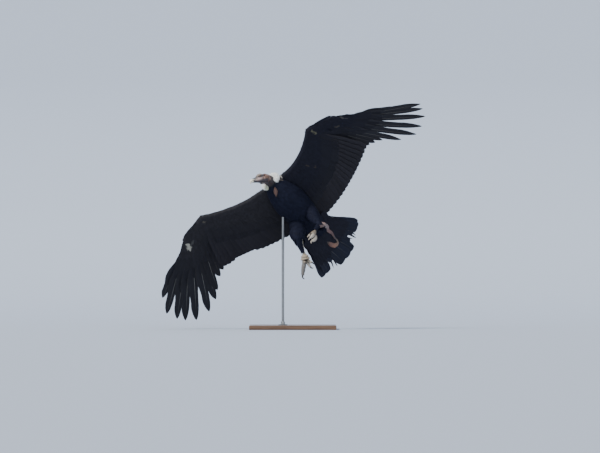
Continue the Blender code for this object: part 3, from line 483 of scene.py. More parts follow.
def layRow(bag, surface, row, seatOf, look, flip=1):
    # one row of small feathers: roots sunk, tips lifted, each bent to the surface under it
    depth = asFunction(row["depth"])
    q = evenRow(surface, *row["span"], depth, row["spacing"], row["shift"])
    n = len(q)
    q = q + dice.normal(0, 0.12, n) * (row["span"][1] - row["span"][0]) / max(n, 1)
    d = depth(q) + dice.normal(0, 0.1, n) * row["spacing"]
    length = asFunction(row["length"])(q) * dice.uniform(0.88, 1.1, n)
    (root, up0), (middle, up1), (tip, up2) = liesOn(surface, q, d, length, flip)
    lift = row["lift"] * dice.uniform(0.7, 1.3, n)[:, None]
    root = root - up0 * row["sink"]
    middle = middle + up1 * lift * 0.45
    tip = tip + up2 * lift
    sway = np.cross(up2, unit(tip - root)) * (dice.normal(0, 0.05, n) * length)[:, None]
    ends = np.stack((root, 2 * middle - (root + tip + sway) / 2, tip + sway), 1)
    if "keep" in row:
        kept = row["keep"](root)
        ends, up1, q, d, n = ends[kept], up1[kept], q[kept], d[kept], int(kept.sum())
    if not n:
        return
    half = row["half"] * dice.uniform(0.9, 1.1, n)
    tone = withMarks(ends[:, 2], shades(row["tone"], n))
    growSlim(bag, ends, up1, half, tone, seatOf(q, d), look)


slimLooks = {
    "contour": {"rows": 5, "ridge": 0.0007, "cup": 0.1,
                "outline": ((0, 0.35), (0.25, 0.8), (0.55, 1.0), (0.8, 0.82), (1, 0.1))},
    "down": {"rows": 5, "ridge": 0.0006, "cup": 0.25,
             "outline": ((0, 0.6), (0.3, 1.0), (0.6, 0.85), (0.85, 0.45), (1, 0.05))},
}
tones = {
    "body": (0.0098, 0.0112, 0.0215),
    "covertLeft": (0.009, 0.0091, 0.016),
    "covertRight": (0.0185, 0.0176, 0.0215),
    "flightUnder": (0.0118, 0.0116, 0.016),
    "flightOver": (0.007, 0.0074, 0.009),
    "silver": (0.52, 0.53, 0.53),
    "shaftUnder": (0.22, 0.215, 0.2),
    "down": (0.86, 0.86, 0.83),
}


def shades(name, n, spread=0.16):
    # each feather a little lighter or darker than the next
    return np.array(tones[name])[None] * dice.uniform(1 - spread, 1 + spread, (n, 1))


# The photo's marks on the underside, as short lines: both ends in the bird's frame, reach,
# colour and strength
markPlan = (
    ((0.3, -0.768, 0.062), (0.262, -0.78, 0.062), 0.016, (0.34, 0.33, 0.28), 0.95),
    ((0.296, -0.724, 0.061), (0.284, -0.736, 0.061), 0.009, (0.06, 0.06, 0.06), 0.8),
    ((0.366, -0.56, 0.049), (0.358, -0.546, 0.049), 0.006, (0.1, 0.09, 0.07), 0.8),
    ((0.321, -0.518, 0.045), (0.321, -0.518, 0.045), 0.006, (0.1, 0.09, 0.07), 0.8),
    ((0.249, -0.335, 0.031), (0.249, -0.335, 0.031), 0.006, (0.07, 0.06, 0.05), 0.7),
    ((0.218, -0.387, 0.038), (0.218, -0.387, 0.038), 0.006, (0.06, 0.05, 0.05), 0.7),
    ((0.2, -0.217, 0.023), (0.2, -0.217, 0.023), 0.006, (0.06, 0.05, 0.05), 0.6),
    ((0.382, 0.465, 0.035), (0.349, 0.477, 0.039), 0.008, (0.11, 0.105, 0.07), 0.9),
    ((0.276, 0.61, 0.042), (0.264, 0.635, 0.049), 0.006, (0.06, 0.052, 0.04), 0.8),
    ((0.389, 0.579, 0.046), (0.38, 0.596, 0.046), 0.006, (0.16, 0.16, 0.155), 0.8),
    ((0.38, 0.612, 0.046), (0.344, 0.673, 0.046), 0.004, (0.085, 0.085, 0.085), 0.7),
    ((0.307, 0.689, 0.047), (0.269, 0.715, 0.045), 0.0045, (0.075, 0.07, 0.066), 0.7),
    ((0.238, 0.799, 0.054), (0.217, 0.819, 0.054), 0.005, (0.12, 0.12, 0.12), 0.8),
    ((0.201, 0.27, 0.023), (0.19, 0.276, 0.025), 0.007, (0.035, 0.028, 0.024), 0.8),
    ((0.146, 0.301, 0.033), (0.14, 0.305, 0.034), 0.008, (0.035, 0.028, 0.024), 0.8),
    ((0.04, 0.3, 0.037), (0.0, 0.301, 0.036), 0.008, (0.022, 0.016, 0.013), 0.6),
    ((-0.118, 0.158, 0.035), (-0.134, 0.166, 0.035), 0.006, (0.12, 0.08, 0.05), 0.8),
    ((0.276, 0.07, 0.022), (0.262, 0.074, -0.01), 0.013, (0.15, 0.125, 0.105), 0.85),
    ((0.262, 0.08, 0.014), (0.258, 0.081, 0.008), 0.007, (0.36, 0.34, 0.31), 0.85),
)


def withMarks(points, colours):
    # the same marks on skin and on feathers
    for start, end, reach, colour, strength in markPlan:
        start, run = np.array(start), np.array(end) - start
        share = np.clip((points - start) @ run / max(run @ run, 1e-9), 0, 1)
        away = np.linalg.norm(points - start - share[..., None] * run, axis=-1)
        colours = tint(colours, colour, strength * ease((reach * 1.25 - away) / (reach * 0.5)))
    return colours


# Wings, with Y counted outwards while they are worked out
shoulder = np.array((0.1, 0.07, 0.05))
wings = {
    "left": {
        "side": 1, "shaft": 0.18, "wrist": (0.392, 0.45, 0.05), "elbowBack": 0.115, "leadSag": 0.058,
        "handBearing": -13.5, "innerSunGain": (1.4, 1.3, 1.25), "frontReach": 0.041,
        "tipBearings": (63.0, 60.0, 57.0, 54.2, 52.8, 49.3, 44.9, 39.7, 35.3, 32.4),
        "tipReaches": (0.44, 0.47, 0.505, 0.555, 0.695, 0.803, 0.836, 0.856, 0.838, 0.825),
        "fingerTwist": -28, "fingerWidth": 0.84, "fingerTaper": 0.94, "outerWeb": -0.012,
        "clipped": (0, 0, 0.0), "thumb": 0.026, "notchFrom": 0.5, "tuck": 0.012,
        "trail": ((0.012, 0.676), (-0.166, 0.392), (-0.215, 0.05)),
    },
    "right": {
        "side": -1, "shaft": 0.85, "wrist": (0.382, 0.561, 0.065), "elbowBack": 0.06, "leadSag": 0.042,
        "handBearing": -11.2, "innerSunGain": (1.05, 1.0, 1.05), "frontReach": 0.047,
        "tipBearings": (70.8, 66.2, 61.6, 59.4, 54.9, 48.4, 43.0, 38.7, 32.7, 26.4),
        "tipReaches": (0.455, 0.5, 0.61, 0.689, 0.787, 0.853, 0.855, 0.845, 0.813, 0.69),
        "fingerTwist": -8, "fingerWidth": 1.2, "fingerTaper": 1.2, "outerWeb": 0.02,
        "clipped": (9, 13, 0.02), "thumb": 0.02, "notchFrom": 1.4, "tuck": 0.009,
        "trail": ((-0.005, 0.68), (-0.085, 0.405), (-0.178, 0.06)),
    },
}
wingPlan = {
    "hand": 0.22, "elbow": 0.46, "primaries": 10, "secondaries": 12, "tertials": 5,
    "tipRise": 0.075, "trailHeight": 0.036,
}
innerCount = wingPlan["secondaries"] + wingPlan["tertials"]
primaryWebs = (
    (0.0, 0.004, 0.004), (0.2, 0.01, 0.014), (0.36, 0.021, 0.046), (0.54, 0.021, 0.044),
    (0.62, 0.02, 0.035), (0.7, 0.02, 0.031), (0.82, 0.019, 0.029), (0.9, 0.015, 0.021),
    (0.96, 0.009, 0.011), (0.985, 0.0045, 0.006), (1.0, 0.001, 0.001),
)
innerWebs = (
    (0.0, 0.004, 0.004), (0.2, 0.01, 0.016), (0.4, 0.018, 0.044), (0.7, 0.019, 0.047),
    (0.88, 0.018, 0.04), (0.96, 0.011, 0.023), (1.0, 0.001, 0.002),
)
secondaryWebs = (
    (0.0, 0.004, 0.006), (0.25, 0.012, 0.03), (0.65, 0.018, 0.042), (0.9, 0.016, 0.036),
    (0.97, 0.009, 0.022), (1.0, 0.001, 0.002),
)
tailWebs = (
    (0.0, 0.004, 0.004), (0.3, 0.012, 0.016), (0.6, 0.025, 0.028), (0.9, 0.025, 0.03),
    (0.97, 0.016, 0.02), (1.0, 0.002, 0.002),
)


def arc(a, b, c, share):
    share = np.asarray(share, float)[..., None]
    a, b, c = (np.asarray(point) for point in (a, b, c))
    return a * (1 - share) ** 2 + b * 2 * share * (1 - share) + c * share**2


def wingBones(wing):
    wrist = np.array(wing["wrist"])
    reach = wrist - shoulder
    back = unit(np.array((-reach[1], reach[0], 0.0)))
    elbow = shoulder + reach * wingPlan["elbow"] + back * wing["elbowBack"]
    bearing = math.radians(wing["handBearing"])
    hand = np.array((math.sin(bearing), math.cos(bearing), 0.02))
    return elbow, wrist, wrist + hand * wingPlan["hand"], hand


def aheadOf(hand):
    # level, and square to the hand's own direction
    return unit(np.array((hand[1], -hand[0], 0)))


def leadingEdge(wing, share):
    start = np.array((0.285, 0.05, 0.03))
    end = np.array(wing["wrist"]) + (wing["frontReach"], -0.004, 0)
    return arc(start, (start + end) / 2 + (-2 * wing["leadSag"], 0, 0), end, share)


def chordLines(wing):
    # for each flight feather: leading edge, root, tip, droop, the flesh's thickness and reach,
    # and the flesh's thickness at its back
    elbow, wrist, handTip, hand = wingBones(wing)
    tertials, secondaries, bend = (wingPlan[key] for key in ("tertials", "secondaries", "elbow"))
    trail = [np.array((x, y, wingPlan["trailHeight"])) for x, y in wing["trail"]]
    fleshStart, fleshEnd = np.array((0.02, 0.05, 0.05)), wrist + (-0.05, 0.012, 0)
    fleshMiddle = (elbow + (-0.045, 0, 0)) * 2 - (fleshStart + fleshEnd) / 2
    lines = []
    for i in range(-1, innerCount):
        share = (i + 1) / innerCount
        if i < 0:
            root, along = shoulder, 0.04
        elif i < tertials:
            part = (i + 1.2) / (tertials + 0.6)
            root, along = blend(shoulder, elbow, part), bend * part
        else:
            part = (i - tertials + 0.5) / secondaries
            root, along = blend(elbow, wrist, part), bend + (1 - bend) * part
        tip = arc(*trail, 1 - share * innerCount / (innerCount + 0.6))
        front = leadingEdge(wing, along)
        back = arc(fleshStart, fleshMiddle, fleshEnd, along)
        thick = 0.062 * (1 - along) + 0.036 * along
        lines.append((front, root, tip, 0.004, thick, np.linalg.norm(back - front), 0.016))
    for i, (bearing, reach) in enumerate(zip(np.radians(wing["tipBearings"]), wing["tipReaches"])):
        share = (i + 1) / wingPlan["primaries"]
        root = blend(wrist, handTip, (i + 0.7) / wingPlan["primaries"])
        rise = wingPlan["tipRise"] * (reach / 0.85) ** 2
        tip = wrist + (-math.sin(bearing) * reach, math.cos(bearing) * reach, rise)
        front = root + aheadOf(hand) * (0.04 * (1 - share) + 0.02 * share)
        thick = 0.034 * (1 - share) + 0.018 * share
        length = np.linalg.norm(tip - root)
        sheet = np.linalg.norm(root - front) + length * 0.17 * (1 + 0.45 * share)
        lines.append((front, root, tip, 0.016 * reach, thick, sheet, 0.009))
    return lines


# how thick the wing is from its edge to the end of its flesh and past it
wingSection = (
    (0, 0), (0.02, 0.3), (0.07, 0.62), (0.28, 1.0), (0.62, 0.8), (1.0, 0.45), (1.5, 0.2), (9, 0.12),
)


def wingSurface(wing, over):
    # the skin of one side of the wing: q is the place in the row of feathers, d back from the edge
    lines = chordLines(wing)
    front, root, tip = (np.array([line[k] for line in lines]) for k in range(3))
    droop, thick, flesh, rear = (np.array([line[k] for line in lines]) for k in range(3, 7))
    count = np.arange(len(lines))

    def read(values, q):
        return np.stack([np.interp(q, count, values[:, k]) for k in range(3)], -1)

    def surface(q, d):
        q, d = np.broadcast_arrays(q, d)
        a, b, c = read(front, q), read(root, q), read(tip, q)
        sag, fat, far = (np.interp(q, count, v)[..., None] for v in (droop, thick, flesh))
        tail = np.interp(q, count, rear)[..., None]
        d = d[..., None]
        near = np.linalg.norm(b - a, axis=-1, keepdims=True)
        span = np.linalg.norm(c - b, axis=-1, keepdims=True)
        share = (d - near) / span
        bone = np.where(d < near, a + (b - a) * d / near, b + (c - b) * share)
        hang = np.where(d < near, 0, sag * 4 * share * (1 - share))
        x = d / far
        height = np.interp(x, *zip(*wingSection)) * fat / 2
        height = np.where(x > 0.9, np.minimum(height, tail * 0.6), height)
        place = bone - np.concatenate((hang * 0, hang * 0, hang), -1)
        place[..., 2] += height[..., 0] * (1 if over else -1)
        place[..., 1] *= wing["side"]
        return place

    surface.reach = lambda q: np.interp(q, count, np.linalg.norm(tip - root, axis=1))
    surface.flesh = lambda q: np.interp(q, count, flesh)
    surface.count = len(count)
    return surface


def wingFlip(wing, over):
    # the sign that turns the surface's own normal out of the wing
    return (1 if over else -1) * wing["side"]


def covertTone(word, over):
    return "covertLeft" if over else "covert" + word.title()


smallCoat = {
    "rows": (*np.arange(-0.01, 0.6, 0.052), 0.64, 0.71, 0.78, 0.86, 0.94),  # where each is on the flesh
    "spacing": (0.0105, 0.01), "length": (0.024, 0.05), "half": (0.0085, 0.0075), "lift": (0.0022, 0.0015),
}


def dressWing(word, wing, over, bag):
    # small and median coverts of one side of the wing, in rows from the leading edge back
    surface = wingSurface(wing, over)
    flip = wingFlip(wing, over)
    last = surface.count - 1.2
    base = 0.52 if over else 0.02

    def seat(q, d):
        return np.stack((base + 0.46 * q / last, 0.05 + np.clip(d, 0, 0.45) * 2), -1)

    for k, share in enumerate(smallCoat["rows"]):
        layRow(bag, surface, {
            "span": (0.0, last), "depth": lambda q: np.maximum(surface.flesh(q) * share, 0) + 0.0003,
            "shift": 0.5 * (k % 2), "sink": 0.002, "tone": covertTone(word, over),
            **grown(smallCoat, ease((share - 0.05) / 0.9)),
        }, seat, slimLooks["contour"], flip)


def webs(table, s, n, scale):
    # widths of n feathers at the places s, with small uneven edges
    plain = smoothTable(table, s)[None] * scale[:, None, None]
    return plain * (1 + dice.normal(0, 0.015, (n, len(s), 2)))


def cellsFor(first, total, n, across):
    # for each feather two oblong cells of the baking map, for its upper and its lower face
    number = (first + np.arange(n)[:, None]) * 2 + (0, 1)
    down = math.ceil(total * 2 / across)
    corner = ((number % across + 0.04) / across, (number // across + 0.04) / down)
    return np.stack((*corner, np.full((n, 2), 0.92 / across), np.full((n, 2), 0.92 / down)), -1)


def smallCells(seat, apart):
    # the same as small cells from these corners, the lower face's so far above the upper's
    cells = np.empty((len(seat), 2, 4))
    cells[:, :, :2] = seat[:, None]
    cells[:, 1, 1] += apart
    cells[:, :, 2:] = (0.02, 0.06)
    return cells


flightLook = {"rows": 44, "cols": 9, "thick": 0.0007, "cup": 0.07, "slant": 0.25}


def addSilver(tone, mask):
    # the pale panel over the colour of the upper sheets, where the mask is more than 0
    tone[:, 0, ..., :3] = blend(tone[:, 0, ..., :3], np.array(tones["silver"]), mask[..., None])


def flightTones(n, look, panel=None):
    # colour of both sheets of each vane; the panel is the silver share of the upper one
    tone = np.ones((n, 2, look["rows"], look["cols"], 4))
    tone[:, 0, ..., :3] = tones["flightOver"]
    tone[:, 1, ..., :3] = tones["flightUnder"]
    if panel:
        along, across = np.linspace(0, 1, look["rows"]), np.linspace(-1, 1, look["cols"])
        addSilver(tone, panel(along[None, :, None], across))
    tone[..., :3] *= dice.uniform(0.85, 1.15, (n, 1, 1, 1, 1))
    return tone


# how far the quills are sunk in the flesh, tilt in degrees, shafts, and where the silver panel
# begins, ends and how softly
flightGroups = {
    "inner": {"sunk": 0.1, "tilt": 4.5, "quill": 0.0018, "shaft": 0.2, "silver": (0.3, 0.965, 0.05)},
    "hand": {"sunk": 0.06, "tilt": 8.4, "quill": 0.003, "shaft": 1.0, "silver": (0.12, 0.55, 0.25)},
}


def growFlight(wing, bag):
    # primaries, secondaries and tertials, each tipped a little so that they lie like tiles
    lines = chordLines(wing)[1:]
    side = wing["side"]
    mirror = np.array((1, side, 1))
    for group, look in flightGroups.items():
        chosen = lines[:innerCount] if group == "inner" else lines[innerCount:]
        n = len(chosen)
        root, tip = (np.array([line[k] for line in chosen]) for k in (1, 2))
        droop = np.array([line[3] for line in chosen])
        if group == "hand":
            root[-1] -= aheadOf(wingBones(wing)[3]) * wing["tuck"]
            droop = droop * 0.88
        else:
            first, past, amount = wing["clipped"]
            notch = np.interp(np.arange(n), (first - 1.5, first, past, past + 1.5), (0, 1, 1, 0))
            tip = tip - unit(tip - root) * (notch * amount)[:, None]
        root = root + (tip - root) * look["sunk"]
        reach = np.linalg.norm(tip - root, axis=1)
        middle = (root + tip) / 2
        middle[:, 2] -= droop * 2
        ends = np.stack((root, middle, tip), 1) * mirror
        up = np.tile((0.0, 0.0, 1.0), (n, 1))
        rows = flightLook["rows"]
        s = np.linspace(0, 1, rows)
        if group == "hand":
            size = np.minimum(1.0, 0.55 + reach * 0.55)
            notched = ease((np.arange(n) - wing["notchFrom"]) / 3.0)[:, None, None]
            fingers = webs(primaryWebs, s ** wing["fingerTaper"], n, size)
            fingers = fingers * (1 + (wing["fingerWidth"] - 1) * ease((s - 0.35) / 0.2))[:, None]
            widths = fingers * notched + webs(innerWebs, s, n, size) * (1 - notched)
            widths[-1, :, 0] += wing["outerWeb"] * ease(s / 0.2) * ease((0.9 - s) / 0.5)
            widths[-1, :, 0] *= 0.35 + 0.65 * ease((s - 0.3) / 0.35)
            twist = math.radians(wing["fingerTwist"])
        else:
            widths = webs(secondaryWebs, s, n, np.full(n, 1.0))
            twist = 0.0
        if side < 0:  # the first width is the one in front on the left wing, and behind on the right
            widths = widths[:, :, ::-1]

        start, end, soft = look["silver"]
        number = np.arange(n)[:, None, None]
        if group == "inner":
            strength = np.clip(number / 4, 0, 1) * 0.95
        else:
            strength = np.clip(1 - number / 5, 0, 1) * 0.7

        def panel(s, t):
            outer = ease((t * side + 0.12) / 0.2)
            return outer[None, None, :] * (ease((s - start) / 0.15) * ease((end - s) / soft)) * strength

        tone = flightTones(n, flightLook, panel)
        if group == "inner":
            # painted sunlight: the lower sheets of the left wing's inner flight feathers are lighter than the
            # right wing's
            tone[:, 1, ..., :3] *= wing["innerSunGain"]
        cells = cellsFor(0 if group == "inner" else innerCount, len(lines), n, 6)
        made = growVanes(bag, ends, up, widths, tone, cells, flightLook,
                         np.full(n, twist * side), np.full(n, math.radians(look["tilt"]) * side))
        fade = ease((s - 0.55) / 0.45)[None, :, None]
        pale = np.array(tones["shaftUnder"]) * wing["shaft"] * look["shaft"]
        shaft = np.tile(pale[None, None] * (1 - fade) + fade * 0.012, (n, 1, 1))
        growShafts(bag, made, look["quill"], shaft, cells)


alulaWebs = (
    (0, 0.004, 0.006), (0.3, 0.009, 0.014), (0.75, 0.008, 0.013), (0.93, 0.005, 0.008), (1, 0.001, 0.001),
)
covertLook = {"rows": 12, "cols": 5, "thick": 0.0006, "cup": 0.1, "slant": 0.3}
covertOutline = (
    (0, 0.003, 0.004), (0.2, 0.01, 0.014), (0.6, 0.013, 0.02), (0.88, 0.011, 0.017), (1, 0.001, 0.001),
)


def growAlula(word, wing, bag):
    # three stiff feathers on the thumb, lying along the hand's leading edge
    _, wrist, _, hand = wingBones(wing)
    forward = aheadOf(hand)
    mirror = np.array((1, wing["side"], 1))
    number = np.arange(3)[:, None]
    root = wrist + forward * (wing["thumb"] - 0.007 * number) + hand * 0.02
    root = root + np.array((0, 0, 0.006)) * (number - 1.2)
    tip = root + hand * (0.165 - 0.026 * number) + forward * (0.004 - 0.006 * number)
    tip = tip + np.array((0, 0, 0.004)) * number
    ends = np.stack((root, (root + tip) / 2 + forward * 0.003, tip), 1) * mirror
    rows = covertLook["rows"]
    widths = webs(alulaWebs, np.linspace(0, 1, rows), 3, np.ones(3))
    if wing["side"] < 0:
        widths = widths[:, :, ::-1]
    tone = np.ones((3, 2, rows, covertLook["cols"], 4))
    tone[..., :3] = shades("covert" + word.title(), 3)[:, None, None, None]
    seat = np.column_stack((np.full(3, 0.93), 0.05 + 0.1 * np.arange(3)))
    cells = smallCells(seat, 0.4)
    growVanes(bag, ends, np.tile((0.0, 0.0, 1.0), (3, 1)), widths, tone, cells, covertLook, None,
              np.full(3, math.radians(10) * wing["side"]))


# two tiers: where they start on the flesh, length, width, lift and the silver above
greaterTiers = ((0.97, 0.4, 1.15, 0.002, 0.92), (0.86, 0.29, 1.0, 0.0045, 0.55))


def growGreater(word, wing, over, bag):
    # the long coverts that cover the bases of the flight feathers
    surface = wingSurface(wing, over)
    flip = wingFlip(wing, over)
    rows = covertLook["rows"]
    for tier, (start, share, scale, lift, silver) in enumerate(greaterTiers):
        q = np.arange(0.6, surface.count - 1.0, 0.72)
        n = len(q)
        reach = surface.reach(q)
        reach = np.where(q > 17.5, reach * share * 0.8, reach * share) * dice.uniform(0.95, 1.06, n)
        d = surface.flesh(q) * start - reach * 0.06
        (root, up0), (middle, up1), (tip, up2) = liesOn(surface, q, d, reach, flip)
        root = root - up0 * 0.002
        middle = middle + up1 * lift
        tip = tip + up2 * lift * 1.2
        ends = np.stack((root, 2 * middle - (root + tip) / 2, tip), 1)
        s = np.linspace(0, 1, rows)
        widths = webs(covertOutline, s, n, np.full(n, scale) * np.clip(reach / 0.1, 0.7, 1.15))
        sign = wing["side"] * (1 if over else -1)
        if sign < 0:
            widths = widths[:, :, ::-1]
        tone = np.ones((n, 2, rows, covertLook["cols"], 4))
        olive = 0.0 if over else 0.85 - 0.35 * tier
        mixed = shades(covertTone(word, over), n) * (1 - olive) + shades("flightUnder", n) * olive
        tone[..., :3] = mixed[:, None, None, None]
        if over:
            t = np.linspace(-1, 1, covertLook["cols"])
            outer = ease((t * sign + 0.3) / 0.3)[None, None, :]
            along = (ease((s - 0.25) / 0.2) * ease((1.02 - s) / 0.1))[None, :, None]
            spread = (ease((q - 3) / 3) * ease((20.5 - q) / 3))[:, None, None]
            addSilver(tone, outer * along * spread * silver)
        seat = np.stack((np.clip(q / surface.count, 0, 1) * 0.9 + 0.02, np.full(n, 0.2 + 0.3 * tier)), -1)
        tilt = np.full(n, math.radians(6) * sign)
        growVanes(bag, ends, up1, widths, tone, smallCells(seat, 0.08), covertLook, None, tilt)


for word, wing in wings.items():
    flight, great, small = newBag(), newBag(), newBag()
    growFlight(wing, flight)
    for over in (False, True):
        growGreater(word, wing, over, great)
    growAlula(word, wing, great)
    for over in (False, True):
        dressWing(word, wing, over, small)
    nodes = ("wing_%s_%s" % (word, part) for part in ("arm", "forearm", "hand"))
    rideBag("flightFeathers" + word.title(), flight, "flightPaint", "plumage", *nodes)
    for name, bag in (("greatCoverts", great), ("smallCoverts", small)):
        rideBag(name + word.title(), bag, "covertPaint", "plumage")


# Bare skin that shows between the feathers: a lens on the crop and a fold under the tail
cropPlan = {
    "middle": (0.254, -0.011, -0.073), "end": (0.283, 0.009, -0.06), "wide": 0.0118, "swell": 0.007,
    "tone": (0.3, 0.13, 0.07), "rim": (0.11, 0.055, 0.04),
}
cropAxis = np.array(cropPlan["end"]) - cropPlan["middle"]
cropLong = np.linalg.norm(cropAxis)
cropAxis = unit(cropAxis)


def ontoTrunk(points, height):
    # the same place round and along the trunk, this high over its surface
    d = trunkShape["front"] - points[..., 0]
    sizes = smoothTable(trunkShape["stations"], points[..., 0])
    tall = np.where(points[..., 2] > 0, sizes[..., 1], sizes[..., 2])
    q = np.arctan2(points[..., 2] / tall, points[..., 1] / sizes[..., 0])
    place, out = normalsOf(trunkSurface, q, d)
    return place - out * height[..., None]


def cropShare(points):
    # 1 at the rim of the lens, less inside it
    off = points - np.array(cropPlan["middle"])
    along = off @ cropAxis
    aside = np.linalg.norm(off - along[..., None] * cropAxis, axis=-1)
    wide = cropPlan["wide"] * (1 + 0.3 * np.clip(along / cropLong, -1, 1))
    return np.hypot(along / cropLong, aside / wide)


# Trunk feathers, in rows from the neck back, which grow over the first dozen
trunkCoat = {
    "rows": 34, "first": 0.004, "step": 0.0155, "growing": 12,
    "spacing": (0.0125, 0.005), "length": (0.034, 0.026), "half": (0.0095, 0.005), "lift": (0.0035, 0),
}


def dressTrunk():
    bag = newBag()

    def seat(q, d):
        return np.stack((0.05 + 0.9 * (q / fullTurn % 1.0), 0.05 + d * 1.5), -1)

    for k in range(trunkCoat["rows"]):
        layRow(bag, trunkSurface, {
            "span": (0, fullTurn), "depth": trunkCoat["first"] + trunkCoat["step"] * k,
            "shift": 0.5 * (k % 2), "sink": 0.002, "tone": "body",
            "keep": lambda points: cropShare(points) > 0.93,
            **grown(trunkCoat, ease(k / trunkCoat["growing"])),
        }, seat, slimLooks["contour"], -1)
    rideBag("bodyFeathers", bag, "bodyPaint", "plumage", "torso")


dressTrunk()


# Tail: twelve feathers fanned about a point inside the trunk, with coverts over and under
tailPlan = {
    "centre": (0.028, -0.028, -0.043), "turn": (22, 9, -4), "quills": 0.308, "gather": 0.64,
    "fan": (
        (23.0, 0.58), (21.0, 0.594), (18.5, 0.595), (15.8, 0.576), (12.4, 0.54), (8.0, 0.582),
        (5.2, 0.64), (0.4, 0.642), (-5.6, 0.634), (-10.8, 0.546), (-18.2, 0.594), (-22.9, 0.598),
    ),
    "spread": (0.044, 0.036, 0.028, 0.019, 0.01), "ahead": 0.03,
    "wide": (1, 1, 1, 1, 1, 1, 1.1, 1.2, 1.35, 1.15, 1.12, 1.0),
    "frays": (
        (14.0, 0.604, 0.034), (12.4, 0.618, 0.02), (11.2, 0.59, -0.02),
        (-8.4, 0.606, 0.03), (-10.6, 0.616, 0.014), (-13.4, 0.6, 0.024),
    ),
}
frayWebs = ((0, 0.004, 0.004), (0.5, 0.006, 0.0066), (0.85, 0.004, 0.005), (1, 0.0006, 0.0006))
tailTurn = np.array(Euler([math.radians(a) for a in tailPlan["turn"]]).to_matrix())


def inTail(points):
    return np.asarray(points) @ tailTurn.T + tailPlan["centre"]


def quillAside(turn):
    # how far to its side the quill of a feather at this bearing is
    return np.tan(turn) * tailPlan["quills"] * tailPlan["gather"]


def tailLine(bearing, reach):
    # the quill and the tip of a tail feather in the tail's own frame
    turn = np.radians(bearing)
    level = 0.004 - 0.012 * np.abs(turn)
    near = np.stack((turn * 0 - tailPlan["quills"], quillAside(turn), level), -1)
    far = np.stack((-np.cos(turn) * reach, np.sin(turn) * reach, level), -1)
    return near, far


def growTail():
    bag = newBag()
    bearing, reach = np.array(tailPlan["fan"]).T
    n, rows = len(bearing), flightLook["rows"]
    near, far = tailLine(bearing, reach)
    for i, out in enumerate(tailPlan["spread"]):
        ahead = tailPlan["ahead"] * out / tailPlan["spread"][0]
        near[i] += (ahead, out, 0)
        near[-1 - i] += (ahead, -out, 0)
    middle = (near + far) / 2 + (0, 0, -0.004)
    ends = inTail(np.stack((near, middle, far), 1))
    up = np.tile(tailTurn[:, 2], (n, 1))
    s = np.linspace(0, 1, rows)
    widths = webs(tailWebs, s, n, np.array(tailPlan["wide"]))
    leftHalf = bearing > 0
    widths[~leftHalf] = widths[~leftHalf][:, :, ::-1]
    widths = widths[:, :, ::-1]
    frays = np.array(tailPlan["frays"])
    cells = cellsFor(0, n + len(frays), n, 6)
    tone = flightTones(n, flightLook)
    tone[:, 1, ..., :3] *= (0.7, 0.85, 1.35)
    tilt = np.where(leftHalf, 1, -1) * math.radians(6)
    made = growVanes(bag, ends, up, widths, tone, cells, flightLook, None, tilt)
    fade = ease((s - 0.3) / 0.6)[None, :, None]
    shaft = np.tile(np.array(tones["shaftUnder"])[None, None] * (1 - fade) * 0.6 + fade * 0.02, (n, 1, 1))
    shaft[0] *= 1.6
    growShafts(bag, made, 0.0022, shaft, cells)
    near, far = tailLine(frays[:, 0], frays[:, 1])
    near = blend(near, far, 0.45)
    middle = (near + far) / 2 + np.stack((frays[:, 2] * 0, frays[:, 2], frays[:, 2] * 0.3), -1)
    ends = inTail(np.stack((near, middle, far), 1))
    look = dict(flightLook, rows=16, cols=3)
    more = len(frays)
    widths = webs(frayWebs, np.linspace(0, 1, look["rows"]), more, np.ones(more))
    growVanes(bag, ends, up[:more], widths, flightTones(more, look), cellsFor(n, n + more, more, 6), look)
    rideBag("tailFeathers", bag, "flightPaint", "plumage", "tail")


def tailSheet(over):
    # the lie of the tail coverts, q across the fan from -1 to 1 and d back from the rump
    def surface(q, d):
        q, d = np.broadcast_arrays(q, d)
        turn = np.radians(25.5) * q
        back = 0.285 + d
        share = np.clip((back - tailPlan["quills"]) / 0.28, 0, 1)
        y = quillAside(turn) * (1 - share) + np.sin(turn) * 0.59 * share
        y = y + tailPlan["spread"][0] * np.sign(q) * ease(np.abs(q)) * (1 - share)
        fat = (0.019 - 0.004 * np.abs(q)) * (1 - ease(d / 0.26)) + 0.0045
        z = (0.004 + fat) if over else (0.004 - fat)
        return inTail(np.stack((-back, y, z + q * 0), -1))

    return surface


tailCoat = {"spacing": (0.017, 0), "length": (0.06, 0.004), "half": (0.0145, 0), "lift": (0.003, 0)}


def dressTail():
    bag = newBag()
    for over in (False, True):
        surface = tailSheet(over)
        base = 0.55 if over else 0.05

        def seat(q, d):
            return np.stack((base + 0.4 * (q * 0.5 + 0.5), 0.05 + d * 3), -1)

        for k in range(-2, 11):
            layRow(bag, surface, {
                "span": (-0.98, 0.98), "depth": lambda q: -0.03 + 0.015 * k - 0.02 * np.abs(q),
                "shift": 0.5 * (k % 2), "sink": 0.002, "tone": "covertLeft", **grown(tailCoat, k),
            }, seat, slimLooks["contour"], 1 if over else -1)
    rideBag("tailCoverts", bag, "covertPaint", "plumage")


growTail()
dressTail()

